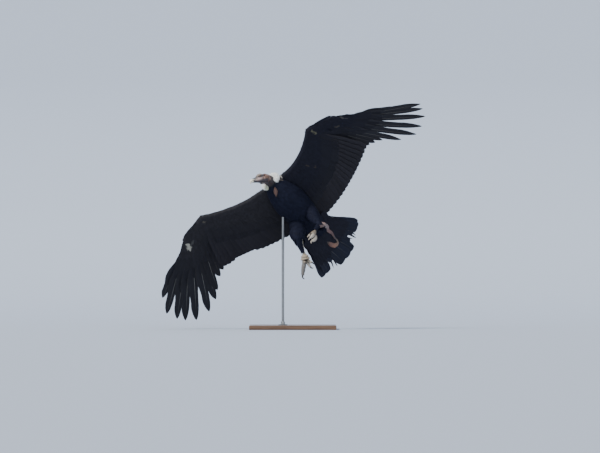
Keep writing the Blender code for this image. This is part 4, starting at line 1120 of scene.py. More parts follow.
# Thighs in trousers of long feathers
legs = {
    "left": {
        "knee": (-0.045, 0.062, -0.06), "heel": (-0.1, 0.075, -0.215), "foot": (-0.065, 0.015, -0.321),
        "sole": (0.22, -0.66, -0.7), "full": 0.002, "trail": 0.02, "puff": 0.0,
        "bare": (-0.62, 0.76, -0.19), "bareReach": 0.03, "shank": 2.7, "shankRows": 5,
        "ball": 0.0195, "girth": 1.3, "long": 1.15,
        "knuckles": ((-0.004, 0.0165, 0.005), (0.01, 0.0175, 0.005)),
        "toes": (
            ("middle", (-0.58, -0.02, -0.81), 0.07, 27, 0.026),
            ("inner", (0.26, 0.1, -0.96), 0.055, 27, 0.028),
            ("outer", (-0.95, 0.1, -0.1), 0.05, 27, 0.022), ("hind", (0.3, -0.9, 0.25), 0.03, 10, 0.02),
        ),
    },
    "right": {
        "knee": (-0.045, -0.062, -0.06), "heel": (-0.083, -0.094, -0.25), "foot": (-0.188, -0.154, -0.303),
        "sole": (-0.55, 0.45, -0.7), "full": 0.01, "trail": 0.01, "puff": 0.024,
        "bare": (-0.7, 0.7, -0.05), "bareReach": 0.026, "shank": 1.5, "shankRows": 8,
        "ball": 0.0275, "girth": 1.15, "long": 1.45,
        "knuckles": ((-0.016, 0.021, 0.007), (0.002, 0.027, 0.0076), (0.02, 0.0225, 0.007)),
        "toes": (
            ("middle", (-0.45, -0.75, -0.5), 0.12, 2, 0.036),
            ("inner", (-0.88, 0.17, -0.45), 0.056, 14, 0.028),
            ("outer", (-0.84, -0.22, -0.5), 0.068, 5, 0.028), ("hind", (-0.84, -0.17, 0.49), 0.03, 12, 0.022),
        ),
    },
}
# radii down the thigh and the shank, by the share of their length
thighTable = ((0, 0.052), (0.25, 0.05), (0.5, 0.04), (0.72, 0.03), (0.86, 0.022), (1, 0.019), (1.3, 0.019))
shankTable = ((-0.2, 0.021), (0.1, 0.02), (0.4, 0.0165), (0.7, 0.0145), (1.2, 0.0135))
photoSide = np.array((-0.62, 0.76, -0.19))


def limbSurface(leg, ends, back, girth, puffed):
    # q goes round a limb from this back side, d down it; the puff is on the side away from the photo's
    top, bottom = (np.array(leg[key]) for key in ends)
    length = np.linalg.norm(bottom - top)
    shin = (bottom - top) / length
    back = unit(back - shin * back.dot(shin))
    side = np.cross(shin, back)

    def surface(q, d):
        q, d = np.broadcast_arrays(q, d)
        out = back * np.cos(q)[..., None] + side * np.sin(q)[..., None]
        away = np.clip(-out @ photoSide, 0, 1)
        radius = girth(d / length) + leg["puff"] * away * puffed(d / length)
        return top + shin * d[..., None] + out * radius[..., None]

    surface.length = length
    return surface


def thighSurface(leg):
    def girth(share):
        full = leg["full"] * ease((share - 0.3) / 0.3) * (1 - 0.7 * ease((share - 0.75) / 0.3))
        return smoothTable(thighTable, share)[..., 0] + full

    back = np.array((-1.0, 0, 0))
    return limbSurface(leg, ("knee", "heel"), back, girth, lambda share: ease((share - 0.25) / 0.45))


def shankSurface(leg):
    # the feathered part of the tarsus; its back side is the one away from its bare strip
    return limbSurface(leg, ("heel", "foot"), -np.array(leg["bare"]),
                       lambda share: smoothTable(shankTable, share)[..., 0],
                       lambda share: 0.9 - 0.8 * ease(share / 0.7))


def heelAway(leg, points):
    # how far these points are from the bare knob of the heel
    return np.linalg.norm(points - np.array(leg["heel"]) - np.array(leg["bare"]) * 0.02, axis=-1)


# the thigh's lengths also follow each leg's trail
thighCoat = {
    "spacing": (0.0125, -0.002), "length": (0.046, 0), "half": (0.0105, -0.002), "lift": (0.0035, 0.002),
}
shankCoat = {"spacing": (0.0085, 0), "length": (0.036, 0), "half": (0.007, 0), "lift": (0.002, 0)}


def dressThighs():
    bag = newBag()
    for k, leg in enumerate(legs.values()):
        def seat(q, d):
            return np.stack((0.05 + 0.5 * k + 0.4 * (q / fullTurn % 1.0), 0.05 + d * 4), -1)

        def feathered(points):
            return heelAway(leg, points) > leg["bareReach"]

        surface = thighSurface(leg)
        for i in range(15):
            low = ease((i - 6) / 8)
            layRow(bag, surface, {
                **grown(thighCoat, low),
                "length": lambda q: thighCoat["length"][0] + low * (leg["trail"] + 0.014 * np.cos(q)),
                "span": (0, fullTurn), "depth": -0.01 + surface.length * 0.064 * i,
                "shift": 0.5 * (i % 2), "sink": 0.002, "tone": "body", "keep": feathered,
            }, seat, slimLooks["contour"])
        surface = shankSurface(leg)
        for i in range(leg["shankRows"]):
            layRow(bag, surface, {
                **grown(shankCoat, 0), "span": (-leg["shank"], leg["shank"]),
                "depth": 0.056 + 0.0145 * (i - leg["shankRows"] + 1),
                "shift": 0.5 * (i % 2), "sink": 0.002, "tone": "body", "keep": feathered,
            }, seat, slimLooks["contour"])
    rideBag("trouserFeathers", bag, "bodyPaint", "plumage", "thigh_left", "thigh_right")


dressThighs()


# Ruff of white down round the neck's root
ruffPlan = {
    "radius": 0.068, "neck": 0.041, "place": 0.306, "open": 136, "rows": 15, "tufts": 250, "half": 0.0026,
}


def ruffFat(turn):
    return (ruffPlan["radius"] - ruffPlan["neck"]) * (0.22 + 0.68 * np.cos(turn / 2))


def growRuff():
    bag = newBag()
    rows, tufts = ruffPlan["rows"], ruffPlan["tufts"]
    row, tuft = (a.ravel() for a in np.meshgrid(np.arange(rows), np.arange(tufts), indexing="ij"))
    n = len(row)
    share = (tuft + 0.5 * (row % 2) + dice.uniform(0, 0.9, n)) / tufts
    turn = np.radians(ruffPlan["open"]) * (2 * share - 1)
    out = np.stack((turn * 0, np.sin(turn), np.cos(turn)), -1)
    around = np.radians(-10 + 195 * (row + dice.uniform(-0.4, 0.4, n)) / (rows - 1))
    ring = np.stack((np.cos(around) * 0.75, out[:, 1] * np.sin(around), out[:, 2] * np.sin(around)), -1)
    root = np.array((ruffPlan["place"], 0, 0)) + out * ruffPlan["neck"]
    root = root + ring * (ruffFat(turn) * 0.8)[:, None]
    way = unit(ring * 0.8 + out * 0.45 + np.array((-0.55, 0, 0)) + dice.normal(0, 0.2, (n, 3)))
    length = (0.009 + 0.014 * np.cos(turn / 2)) * dice.uniform(0.7, 1.25, n)
    tip = root + way * length[:, None] + np.array((-0.004, 0, 0))
    ends = np.stack((root, root + ring * (length * 0.55)[:, None], tip), 1)
    seat = np.stack((0.05 + 0.9 * tuft / tufts, 0.05 + 0.9 * row / rows), -1)
    half = ruffPlan["half"] * dice.uniform(0.7, 1.3, n)
    # painted shade: the down at the collar's far end, past the head, is made greyer and yellower
    farEndShade = ease((-turn - math.radians(105)) / math.radians(25))[:, None] * (0.28, 0.27, 0.42)
    tone = shades("down", n, 0.05) * (1 - farEndShade)
    growSlim(bag, ends, unit(ring + dice.normal(0, 0.25, (n, 3))), half, tone, seat, slimLooks["down"])
    rideBag("ruffDown", bag, "downPaint", "down", "ruff")


growRuff()


# Skins made from closed forms: each form is a grid set on a surface, and the forms become one
def sheetFrom(surface, across, down):
    mesh = bmesh.new()
    bmesh.ops.create_grid(mesh, x_segments=across, y_segments=down, size=0.5)
    places = np.array([v.co[:2] for v in mesh.verts]) + 0.5
    for vert, place in zip(mesh.verts, surface(places[:, 0], places[:, 1])):
        vert.co = place
    bmesh.ops.remove_doubles(mesh, verts=mesh.verts, dist=0.00002)
    bmesh.ops.holes_fill(mesh, edges=[e for e in mesh.edges if e.is_boundary])
    bmesh.ops.recalc_face_normals(mesh, faces=mesh.faces)
    return asMesh(mesh, "sheet")


def lineTable(places, *columns, size=3):
    # a table of the share run along these places, the places themselves and what goes with each
    places = np.array(places, float)
    steps = np.linalg.norm(np.diff(places[:, :size], axis=0), axis=1)
    run = np.concatenate(([0], np.cumsum(steps))) / steps.sum()
    return np.column_stack((run, places, *columns))


def goesTo(table, v, size):
    # the line's direction, from the table's first columns
    ahead = smoothTable(table, np.minimum(v + 0.01, 1)) - smoothTable(table, np.maximum(v - 0.01, 0))
    return unit(ahead[..., :size])


def tubeSkin(places, radii, up, flat=1.0, blunt=0.03, relief=None):
    # a tube through these places, with rounded ends; flat squeezes it along up
    table = lineTable(places, radii)

    def skin(u, v):
        row, along = smoothTable(table, v), goesTo(table, v, 3)
        side = unit(np.cross(np.array(up, float), along))
        top = np.cross(along, side)
        angle = u * fullTurn
        radius = row[..., 3] * dome(np.minimum(v, 1 - v) / blunt)
        if relief:
            radius = radius * relief(angle, v)
        ring = side * (np.cos(angle) * radius)[..., None] + top * (np.sin(angle) * radius * flat)[..., None]
        return row[..., :3] + ring

    return skin


def loopSkin(centre, across, high, wide, tall, thick):
    # a closed rim, such as lids or the cup of an ear
    centre, across, high = (np.array(v, float) for v in (centre, across, high))
    out = np.cross(across, high)

    def skin(u, v):
        a, b = u * fullTurn, v * fullTurn
        flat = across * (wide * np.cos(a))[..., None] + high * (tall * np.sin(a))[..., None]
        ring = flat + unit(flat) * (thick * np.cos(b))[..., None]
        return centre + ring + out * (thick * np.sin(b))[..., None]

    return skin


def oneSkin(name, parts, voxel, smooth):
    # all of these closed forms as one skin with no seam between them
    mesh = bmesh.new()
    for part in parts:
        mesh.from_mesh(part)
        bpy.data.meshes.remove(part)
    data = asMesh(mesh, name)
    piece = bpy.data.objects.new(name, data)
    bpy.context.scene.collection.objects.link(piece)
    remesh = piece.modifiers.new("oneSkin", "REMESH")
    remesh.mode = "VOXEL"
    remesh.voxel_size = voxel
    relax = piece.modifiers.new("relax", "SMOOTH")
    relax.factor = 0.5
    relax.iterations = smooth
    made = bpy.data.meshes.new_from_object(piece.evaluated_get(bpy.context.evaluated_depsgraph_get()))
    bpy.data.objects.remove(piece)
    bpy.data.meshes.remove(data)
    made.name = name
    made.shade_smooth()
    return made


def rideSkin(skin, paint, slot, *nodes):
    return rideRoot(addObject(skin.name, skin, [softPaints[paint]]), slot, *nodes)


def readPoints(mesh, what="co"):
    values = np.empty(len(mesh.vertices) * 3, np.float32)
    mesh.vertices.foreach_get(what, values)
    return values.reshape(-1, 3).astype(float)


def setTone(mesh, colours):
    layer = mesh.color_attributes.new("tone", "FLOAT_COLOR", "POINT")
    layer.data.foreach_set("color", np.column_stack((colours, np.ones(len(colours)))).ravel())


def push(mesh, amount):
    # moves each point along its normal
    points, normals = readPoints(mesh), readPoints(mesh, "normal")
    mesh.vertices.foreach_set("co", (points + normals * amount[:, None]).astype(np.float32).ravel())
    mesh.update()


def rumple(points, size, seed=0):
    # soft uneven folds, between -1 and 1
    turns = np.random.default_rng(seed).normal(0, 1, (7, 3))
    phases = np.random.default_rng(seed + 1).uniform(0, 6.3, 7)
    waves = np.sin(points @ unit(turns).T * (6.283 / size) * np.linspace(0.6, 1.7, 7) + phases)
    return waves.sum(-1) / 3.2


def uneven(points, amount, size, seed):
    # what to multiply colours by, so that they change a little from place to place
    return (1 + amount * rumple(points, size, seed))[:, None]


def makeBlotches():
    # uneven shade and fine cracks, from a place on the object
    tree, given, end = newGroup(
        "blotches", (("place", "Vector"), *((word, "Float") for word in blotchInputs)), ("shade", "height"))
    place = given["place"]
    blotch = addNode(tree, "TexNoise", Vector=place, Scale=given["blotch"], Detail=6.0, Roughness=0.65)
    fine = addNode(tree, "TexVoronoi", Vector=place, Scale=given["grain"], feature="DISTANCE_TO_EDGE")
    middle = maths(tree, "MULTIPLY_ADD", given["spread"], -0.5, 1.0)
    spread = maths(tree, "MULTIPLY_ADD", blotch.outputs[0], given["spread"], middle)
    crack = addNode(tree, "MapRange")
    feedAll(tree, crack, {"Value": fine.outputs["Distance"], "From Max": given["crackWidth"],
                          "To Min": maths(tree, "SUBTRACT", 1.0, given["crackDark"])})
    relief = maths(tree, "MULTIPLY", crack.outputs[0], given["relief"])
    feedAll(tree, end, {
        "shade": maths(tree, "MULTIPLY", spread, crack.outputs[0]),
        "height": maths(tree, "ADD", relief, blotch.outputs[0])})
    return tree


blotchInputs = ("blotch", "grain", "spread", "crackWidth", "crackDark", "relief")
blotchGroup = makeBlotches()


def makeSoftPaint(name, look):
    # bare skin and horn: the piece's own tones with blotches, pores and wrinkles
    paint, tree, shader = newMaterial(name)
    blotches = addNode(tree, "Group", node_tree=blotchGroup)
    feedAll(tree, blotches, {"place": objectPlace(tree), **{word: look[word] for word in blotchInputs}})
    shade, height = (blotches.outputs[word] for word in ("shade", "height"))
    bump = addNode(tree, "Bump", Strength=look["bump"], Distance=look["depth"], Height=height)
    feedAll(tree, shader, {
        "Base Color": mixColour(tree, 1.0, toneOf(tree), greyOf(tree, shade), "MULTIPLY"),
        "Normal": bump.outputs[0], "Roughness": look["rough"], "Coat Weight": look["coat"],
        "Subsurface Weight": look["soft"], "Subsurface Radius": (0.004, 0.0016, 0.001),
        "Subsurface Scale": 0.6,
    })
    return paint


softLooks = {
    "bareSkin": {"blotch": 120.0, "grain": 420.0, "spread": 0.5, "crackWidth": 0.12, "crackDark": 0.25,
                 "relief": 0.5, "bump": 0.55, "depth": 0.001, "rough": 0.52, "soft": 0.12, "coat": 0.0},
    "legScales": {"blotch": 150.0, "grain": 260.0, "spread": 0.35, "crackWidth": 0.1, "crackDark": 0.45,
                  "relief": 1.2, "bump": 0.8, "depth": 0.0008, "rough": 0.5, "soft": 0.05, "coat": 0.0},
    "billHorn": {"blotch": 60.0, "grain": 900.0, "spread": 0.25, "crackWidth": 0.02, "crackDark": 0.05,
                 "relief": 0.1, "bump": 0.25, "depth": 0.0006, "rough": 0.3, "soft": 0.1, "coat": 0.25},
    "clawHorn": {"blotch": 220.0, "grain": 900.0, "spread": 0.4, "crackWidth": 0.02, "crackDark": 0.1,
                 "relief": 0.1, "bump": 0.25, "depth": 0.0004, "rough": 0.28, "soft": 0.0, "coat": 0.2},
    "featherBed": {"blotch": 90.0, "grain": 300.0, "spread": 0.6, "crackWidth": 0.1, "crackDark": 0.3,
                   "relief": 0.5, "bump": 0.5, "depth": 0.001, "rough": 0.8, "soft": 0.0, "coat": 0.0},
    "downBed": {"blotch": 160.0, "grain": 500.0, "spread": 0.2, "crackWidth": 0.1, "crackDark": 0.1,
                "relief": 0.5, "bump": 0.6, "depth": 0.001, "rough": 0.95, "soft": 0.0, "coat": 0.0},
}
softPaints = {name: makeSoftPaint(name, look) for name, look in softLooks.items()}


# Head: worked out in its own frame, along the bill, to its left and up
headPlan = {
    "place": (0.389, -0.018, -0.045), "forward": (0.534, -0.843, -0.009), "up": (0.434, 0.266, 0.861),
    "skull": (
        (-0.0525, 0.0008, 0.0008, 0.0008), (-0.0505, 0.011, 0.0125, 0.014), (-0.044, 0.0195, 0.0215, 0.0245),
        (-0.03, 0.0275, 0.031, 0.0325), (-0.01, 0.029, 0.0325, 0.0325), (0.01, 0.0255, 0.029, 0.0285),
        (0.028, 0.0205, 0.0245, 0.0235), (0.042, 0.0165, 0.0198, 0.0185), (0.047, 0.012, 0.015, 0.014),
        (0.049, 0.0008, 0.0008, 0.0008),
    ),
    "eye": (0.012, 0.0235, 0.01), "eyeRadius": 0.008,
    "folds": (
        (0.003, ((0.025, 0.015), (0.0165, 0.0212), (0.006, 0.0212), (-0.002, 0.0145))),
        (0.0022, ((0.042, -0.0025), (0.027, -0.0056), (0.011, -0.01))),
        (0.002, ((0.042, -0.0085), (0.028, -0.0105), (0.014, -0.014), (0.008, -0.0125))),
        (0.0028, ((0.004, 0.0), (0.0, -0.01), (0.006, -0.02), (0.016, -0.0235))),
        (0.0032, ((-0.008, 0.0), (-0.013, -0.011), (-0.008, -0.023), (0.002, -0.028))),
        (0.003, ((-0.028, 0.017), (-0.037, 0.006), (-0.036, -0.008), (-0.026, -0.021))),
        (0.0026, ((-0.018, 0.0215), (-0.0275, 0.01), (-0.029, -0.005), (-0.02, -0.019))),
    ),
    "lids": (0.0086, 0.0072, 0.0025), "ear": ((-0.02, 0.003), 0.0066, 0.008, 0.0024),
    "voxel": 0.0009,
}
headForward = unit(np.array(headPlan["forward"]))
headLeft = unit(np.cross(headPlan["up"], headForward))
headTurn = np.stack((headForward, headLeft, np.cross(headForward, headLeft)), 1)


def inHead(points):
    return np.asarray(points, float) @ headTurn.T + headPlan["place"]


def fromHead(points):
    # how far along the bill, to its left and up each point is
    return np.moveaxis((points - headPlan["place"]) @ headTurn, -1, 0)


def power(value, exponent):
    # the same with its sign kept, which makes a circle squarer
    return np.sign(value) * np.abs(value) ** exponent


def skullSkin(u, v):
    angle = u * fullTurn
    x = -0.0525 + 0.1015 * (0.5 - 0.5 * np.cos(v * math.pi))
    wide, high, deep = np.moveaxis(smoothTable(headPlan["skull"], x), -1, 0)
    c, s = np.cos(angle), np.sin(angle)
    tall = np.where(s > 0, high, deep)
    return inHead(np.stack((x, wide * power(c, 0.9), tall * power(s, 0.9)), -1))


def onFace(side, along, above, out=0.0):
    wide, high, deep = smoothTable(headPlan["skull"], along)
    tall = high if above > 0 else deep
    return inHead((along, side * (wide * math.sqrt(max(0.0, 1 - (above / tall) ** 2)) + out), above))


def neckPlaces():
    start = np.array((0.286, 0, 0))
    end = np.array(headPlan["place"]) - headForward * 0.02 + (0, 0, -0.004)
    middle = np.array((end[0] - 0.022, 0.004, (start[2] + end[2]) / 2 + 0.006))
    return arc(start, middle, end, np.linspace(0, 1, 7))


# cheek and crown are painted highlights; nape, underNeck, throat and ear are painted shade
headTones = {
    "skin": (0.15, 0.108, 0.1), "neck": (0.15, 0.068, 0.05), "ringDark": (0.085, 0.036, 0.03),
    "ringPale": (0.34, 0.215, 0.17), "ringMiddle": (0.15, 0.085, 0.055), "nape": (0.04, 0.031, 0.036),
    "underNeck": (0.03, 0.022, 0.024), "throat": (0.036, 0.029, 0.036), "cheek": (0.42, 0.3, 0.27),
    "cheekEdge": (0.1, 0.058, 0.048), "eyeRim": (0.026, 0.019, 0.022), "crown": (0.33, 0.27, 0.23),
    "brow": (0.045, 0.036, 0.036), "ear": (0.02, 0.014, 0.014),
}


def earAway(a, u):
    return np.hypot(a + 0.02, (u - 0.003) / 1.2)


def bell(x):
    return np.exp(-x ** 2)


def headColours(points):
    # purplish grey skin, red-brown folded neck with a paler ring, painted highlight as pale cheeks and a pale
    # crown, painted shade under the head and neck and in the ear, dark round the eye
    a, l, u = fromHead(points)
    neck = ease((-0.002 - l) / 0.014) * ease((-0.03 - a) / 0.012)
    l = np.abs(l)
    ring = np.hypot(a + 0.036, (u + 0.014) / 1.05)
    eye = np.hypot((a - 0.007) / 1.75, (u - 0.0135))
    cheek = np.exp(-((a - 0.026) / 0.019) ** 2 - ((u + 0.0045) / 0.0085) ** 2)
    colours = np.tile(headTones["skin"], (len(points), 1))
    for name, share in (
        ("neck", ease((-0.004 - a) / 0.014) * ease((0.022 - u) / 0.01)),
        ("ringDark", bell((ring - 0.031) / 0.0045) * ease((u + 0.03) / 0.01) * 0.9),
        ("ringPale", bell((ring - 0.0215) / 0.0045) * ease((u + 0.03) / 0.014) * 0.85),
        ("ringMiddle", ease((0.015 - ring) / 0.005) * 0.8),
        # painted shade on the lower side of the head and neck
        ("nape", ease((ring - 0.026) / 0.008) * ease((-u - 0.012) / 0.014) * ease((0.01 - a) / 0.02)),
        ("underNeck", neck * 0.95),
        ("throat", ease((-0.012 - u) / 0.01) * ease((a + 0.05) / 0.02) * 0.95),
        # painted highlight: a pale patch on each cheek
        ("cheek", cheek * 0.95),
        ("cheekEdge", bell((a - 0.0365) / 0.0028) * ease((u + 0.006) / 0.006) * 0.85),
        ("eyeRim", ease((0.0165 - eye) / 0.006) * ease((l - 0.006) / 0.008) * 0.95),
        # painted highlight: the top of the head is paler
        ("crown", ease((u - 0.024) / 0.006) * ease((a + 0.04) / 0.02) * 0.8),
        ("brow", ease((a - 0.039) / 0.006) * ease((u - 0.002) / 0.006) * 0.9),
        # painted shade in the ear opening
        ("ear", ease((0.005 - earAway(a, u)) / 0.002) * 0.9),
    ):
        colours = tint(colours, headTones[name], share)
    return colours


def makeHead():
    neckRadii = [0.041 * (1 - 0.3 * i / 6) for i in range(7)]
    parts = [sheetFrom(skullSkin, 72, 90), sheetFrom(tubeSkin(neckPlaces(), neckRadii, (0, 0, 1)), 48, 50)]
    ahead, left, up = headTurn.T
    for side in (1, -1):
        place = np.array(headPlan["eye"]) * (1, side, 1) + (0, side * 0.004, 0)
        wide, tall, thick = headPlan["lids"]
        parts.append(sheetFrom(loopSkin(inHead(place), ahead, up, wide, tall, thick), 48, 16))
        where, wide, tall, thick = headPlan["ear"]
        parts.append(sheetFrom(loopSkin(onFace(side, *where), ahead, up, wide, tall, thick), 40, 14))
        for fat, line in headPlan["folds"]:
            places = [onFace(side, along, above, fat * 0.1) for along, above in line]
            radii = [fat * 0.5] + [fat] * (len(line) - 2) + [fat * 0.5]
            parts.append(sheetFrom(tubeSkin(places, radii, left * side, 0.8, 0.15), 16, 40))
    skin = oneSkin("headSkin", parts, headPlan["voxel"], 3)
    points = readPoints(skin)
    a, l, u = fromHead(points)
    side = np.abs(l)
    eye = np.hypot(a - headPlan["eye"][0], u - headPlan["eye"][2])
    calm = ease((eye - 0.009) / 0.006)
    ring = np.hypot(a + 0.031, (u + 0.013) / 1.08)
    fold = np.cos(ring * fullTurn / 0.0078 + rumple(points, 0.03, 3) * 0.9) * 0.0009
    fold = fold * ease((ring - 0.004) / 0.006) * ease((0.042 - ring) / 0.014) * ease((side - 0.006) / 0.01)
    crown = rumple(points, 0.01, 5) * 0.0006 * ease((u - 0.01) / 0.01)
    throat = np.cos(a * fullTurn / 0.0068 + rumple(points, 0.02, 8)) * 0.0007 * ease((-0.014 - u) / 0.008)
    hole = -0.004 * ease((0.0048 - earAway(a, u)) / 0.003) * ease((side - 0.012) / 0.006)
    slit = -0.0016 * bell((u + 0.0072 - (a - 0.02) * 0.18) / 0.0014) * ease((a - 0.008) / 0.006)
    socket = -0.004 * ease((0.0062 - eye) / 0.001) * ease((side - 0.012) / 0.004)
    fine = rumple(points, 0.0042, 11) * 0.00022
    push(skin, (fold + crown + throat + fine) * calm + hole + slit * calm + socket)
    setTone(skin, headColours(readPoints(skin)))
    rideSkin(skin, "bareSkin", "skin", "head", "neck")


makeHead()


def makeRuffBed():
    # the collar's core, which the down stands on
    turns = np.radians(np.linspace(-ruffPlan["open"], ruffPlan["open"], 25))
    place, neck = ruffPlan["place"], ruffPlan["neck"]
    places = [(place, math.sin(turn) * neck, math.cos(turn) * neck) for turn in turns]
    tube = sheetFrom(tubeSkin(places, ruffFat(turns) * 0.86, (1, 0, 0)), 24, 120)
    skin = oneSkin("ruffBed", [tube], 0.003, 2)
    setTone(skin, np.tile((0.62, 0.62, 0.6), (len(skin.vertices), 1)))
    rideSkin(skin, "downBed", "down", "ruff")


makeRuffBed()


# top is a painted highlight and low is painted shade
combTones = {"top": (0.27, 0.215, 0.17), "low": (0.13, 0.095, 0.085), "front": (0.05, 0.042, 0.04)}


def makeComb():
    # a lobed, ridged flap of skin from the bill to the crown
    def combSkin(u, v):
        angle = u * fullTurn
        place = 0.044 - 0.056 * v
        tall = 0.019 * np.sin(math.pi * (v * 0.86 + 0.1)) * (1 + 0.1 * np.sin(v * 21) + 0.05 * np.sin(v * 47))
        rounding = dome(np.minimum(v, 1 - v) / 0.1)
        high = smoothTable(headPlan["skull"], place)[..., 1]
        c, s = np.cos(angle), np.sin(angle)
        lift = np.where(s > 0, (0.004 + tall) * s, 0.007 * s)
        wide = 0.0062 * c * (1 - 0.45 * np.clip(s, 0, 1)) * (1 + 0.16 * np.sin(v * 30 + s * 5))
        lean = 0.0012 * np.sin(v * 9 + 1) * np.clip(s, 0, 1)
        return inHead(np.stack((place, wide * rounding + lean, high - 0.004 + lift * rounding), -1))

    skin = oneSkin("combSkin", [sheetFrom(combSkin, 60, 110)], 0.0007, 2)
    points = readPoints(skin)
    push(skin, rumple(points, 0.005, 21) * 0.0005 + rumple(points, 0.012, 23) * 0.0006)
    points = readPoints(skin)
    a, _, u = fromHead(points)
    # painted highlight on the comb's top and painted shade low down by the skull
    colour = tint(combTones["top"], combTones["low"], ease((0.03 - u) / 0.01))
    colour = tint(colour, combTones["front"], ease((a - 0.03) / 0.01) * 0.6)
    setTone(skin, colour * uneven(points, 0.2, 0.008, 25))
    rideSkin(skin, "bareSkin", "comb", "comb")


makeComb()


wattlePlan = {
    "lappets": ((0.032, 0.0062, 0.0), (0.035, 0.0048, -0.016), (0.034, 0.0048, 0.014)),  # drop, radius, place
    # painted shade: the lappets' tone is kept as dark as the shaded throat
    "tone": (0.036, 0.029, 0.035),
}


def makeWattle():
    # lappets of folded skin under the throat
    def ripple(angle, v):
        return 1 + 0.14 * np.sin(v * 34) * (0.5 + 0.5 * np.cos(angle))

    parts = []
    for drop, wide, back in wattlePlan["lappets"]:
        places = [(back + 0.012 - 0.012 * i, 0.0015 * (i % 2), -drop - 0.003 * (i % 2)) for i in range(4)]
        radii = [wide * k for k in (0.6, 1.0, 0.95, 0.6)]
        parts.append(sheetFrom(tubeSkin(inHead(places), radii, headTurn[:, 2], 1.25, 0.2, ripple), 36, 60))
    skin = oneSkin("wattleSkin", parts, 0.0008, 2)
    push(skin, rumple(readPoints(skin), 0.006, 31) * 0.0005)
    setTone(skin, np.array(wattlePlan["tone"]) * uneven(readPoints(skin), 0.3, 0.012, 33))
    rideSkin(skin, "bareSkin", "comb", "wattle")


makeWattle()

black = (0, 0, 0)
billPlan = {
    "top": (
        (0.038, 0.0092, 0.0155, 0.009), (0.0423, 0.01, 0.016, 0.0092), (0.054, 0.008, 0.0135, 0.0087),
        (0.066, 0.0068, 0.0115, 0.0086), (0.0765, 0.0036, 0.0108, 0.0092), (0.0845, -0.0035, 0.0083, 0.0084),
        (0.088, -0.0125, 0.0055, 0.0058), (0.0876, -0.0215, 0.0016, 0.0018),
    ),
    "bottom": (
        (0.038, -0.009, 0.015, 0.008), (0.0423, -0.0088, 0.015, 0.0082), (0.058, -0.0084, 0.0115, 0.006),
        (0.07, -0.0098, 0.009, 0.005), (0.0775, -0.0116, 0.0045, 0.0026),
    ),
    "nostril": (0.05, 0.0115), "border": 0.062, "ivory": (0.62, 0.59, 0.5), "dark": (0.03, 0.028, 0.032),
    "gapeHighlight": (0.4, 0.34, 0.3),
}


def billSkin(line, sharpBelow, sharpAbove):
    # rings across the bill's own curve; the cutting edges are drawn down or up to a sharp side
    table = lineTable(line, size=2)

    def skin(u, v):
        row, along = smoothTable(table, v), goesTo(table, v, 2)
        angle = u * fullTurn
        rounding = dome(np.minimum(v / 0.02, (1 - v) / 0.035))
        c, s = np.cos(angle), np.sin(angle)
        across = row[..., 2] * power(c, 0.85) * rounding
        above = row[..., 3] * power(s, 0.85) * rounding
        above = above + (sharpAbove - sharpBelow) * np.abs(c) ** 6 * row[..., 3] * rounding
        ahead, high = row[..., 0] - along[..., 1] * above, row[..., 1] + along[..., 0] * above
        return inHead(np.stack((ahead, across, high), -1))

    return skin


def makeBill():
    upper = oneSkin("upperBill", [sheetFrom(billSkin(billPlan["top"], 0.62, 0.0), 72, 110)], 0.0008, 2)
    lower = oneSkin("lowerBill", [sheetFrom(billSkin(billPlan["bottom"], 0.0, 0.3), 60, 80)], 0.0008, 2)
    for skin, node in ((upper, "bill_upper"), (lower, "bill_lower")):
        points = readPoints(skin)
        a, _, u = fromHead(points)
        nostril = np.hypot((a - billPlan["nostril"][0]) / 1.7, u - billPlan["nostril"][1])
        cere = ease((0.0585 - a - 0.15 * (u - 0.01)) / 0.004)
        growth = 0.00012 * np.sin(a * fullTurn / 0.0035 + rumple(points, 0.01, 41))
        amount = 0.0007 * cere + growth * (1 - cere) + cere * 0.0003 * rumple(points, 0.004, 43)
        if node == "bill_upper":
            amount = amount - 0.004 * ease((0.003 - nostril) / 0.0018)
        push(skin, amount)
        # the lower bill is dark nearly to its tip: partly the horn's dark base, partly painted shade under
        # the bill
        border = billPlan["border"] + 0.002 + 2.0 * (u - 0.004) if node == "bill_upper" else 0.07
        colour = tint(billPlan["ivory"], billPlan["dark"], ease((border - a) / 0.008))
        # painted highlight: a pale spot at the corner of the mouth
        gapeHighlight = ease((0.054 - a) / 0.006) * ease((0.0045 - u) / 0.005) * ease((u + 0.012) / 0.004) * 0.9
        colour = tint(colour, billPlan["gapeHighlight"], gapeHighlight)
        if node == "bill_upper":
            # painted shade in the nostril
            colour = tint(colour, black, 0.9 * ease((0.0028 - nostril) / 0.0015))
        setTone(skin, colour)
        rideSkin(skin, "billHorn", "horn", node)


makeBill()


eyeTones = {"white": (0.03, 0.022, 0.02), "iris": (0.15, 0.055, 0.022), "pupil": (0.003, 0.003, 0.003)}


def makeEyes():
    paint, tree, shader = newMaterial("eyeBall")
    feedAll(tree, shader, {"Base Color": toneOf(tree), "Roughness": 0.08, "Coat Weight": 1.0})
    for side, word in ((1, "left"), (-1, "right")):
        centre = inHead(np.array(headPlan["eye"]) * (1, side, 1))
        look = unit(headTurn @ np.array((0.3, side, -0.05)))
        mesh = bmesh.new()
        bmesh.ops.create_uvsphere(mesh, u_segments=64, v_segments=48, radius=headPlan["eyeRadius"])
        turn = Vector(look).to_track_quat("Z", "Y").to_matrix().to_4x4()
        bmesh.ops.transform(mesh, matrix=turn, verts=mesh.verts)
        bmesh.ops.translate(mesh, vec=centre, verts=mesh.verts)
        ball = asMesh(mesh, "eye" + word.title())
        ball.shade_smooth()
        points = readPoints(ball) - centre
        ring = np.arccos(np.clip(unit(points) @ look, -1, 1))
        streaks = np.array(eyeTones["iris"]) * uneven(points, 0.25, 0.0012, 51)
        colour = tint(eyeTones["white"], streaks, ease((0.62 - ring) / 0.04))
        setTone(ball, tint(colour, eyeTones["pupil"], ease((0.3 - ring) / 0.03)))
        rideRoot(addObject(ball.name, ball, [paint]), "eye", "eye_" + word)


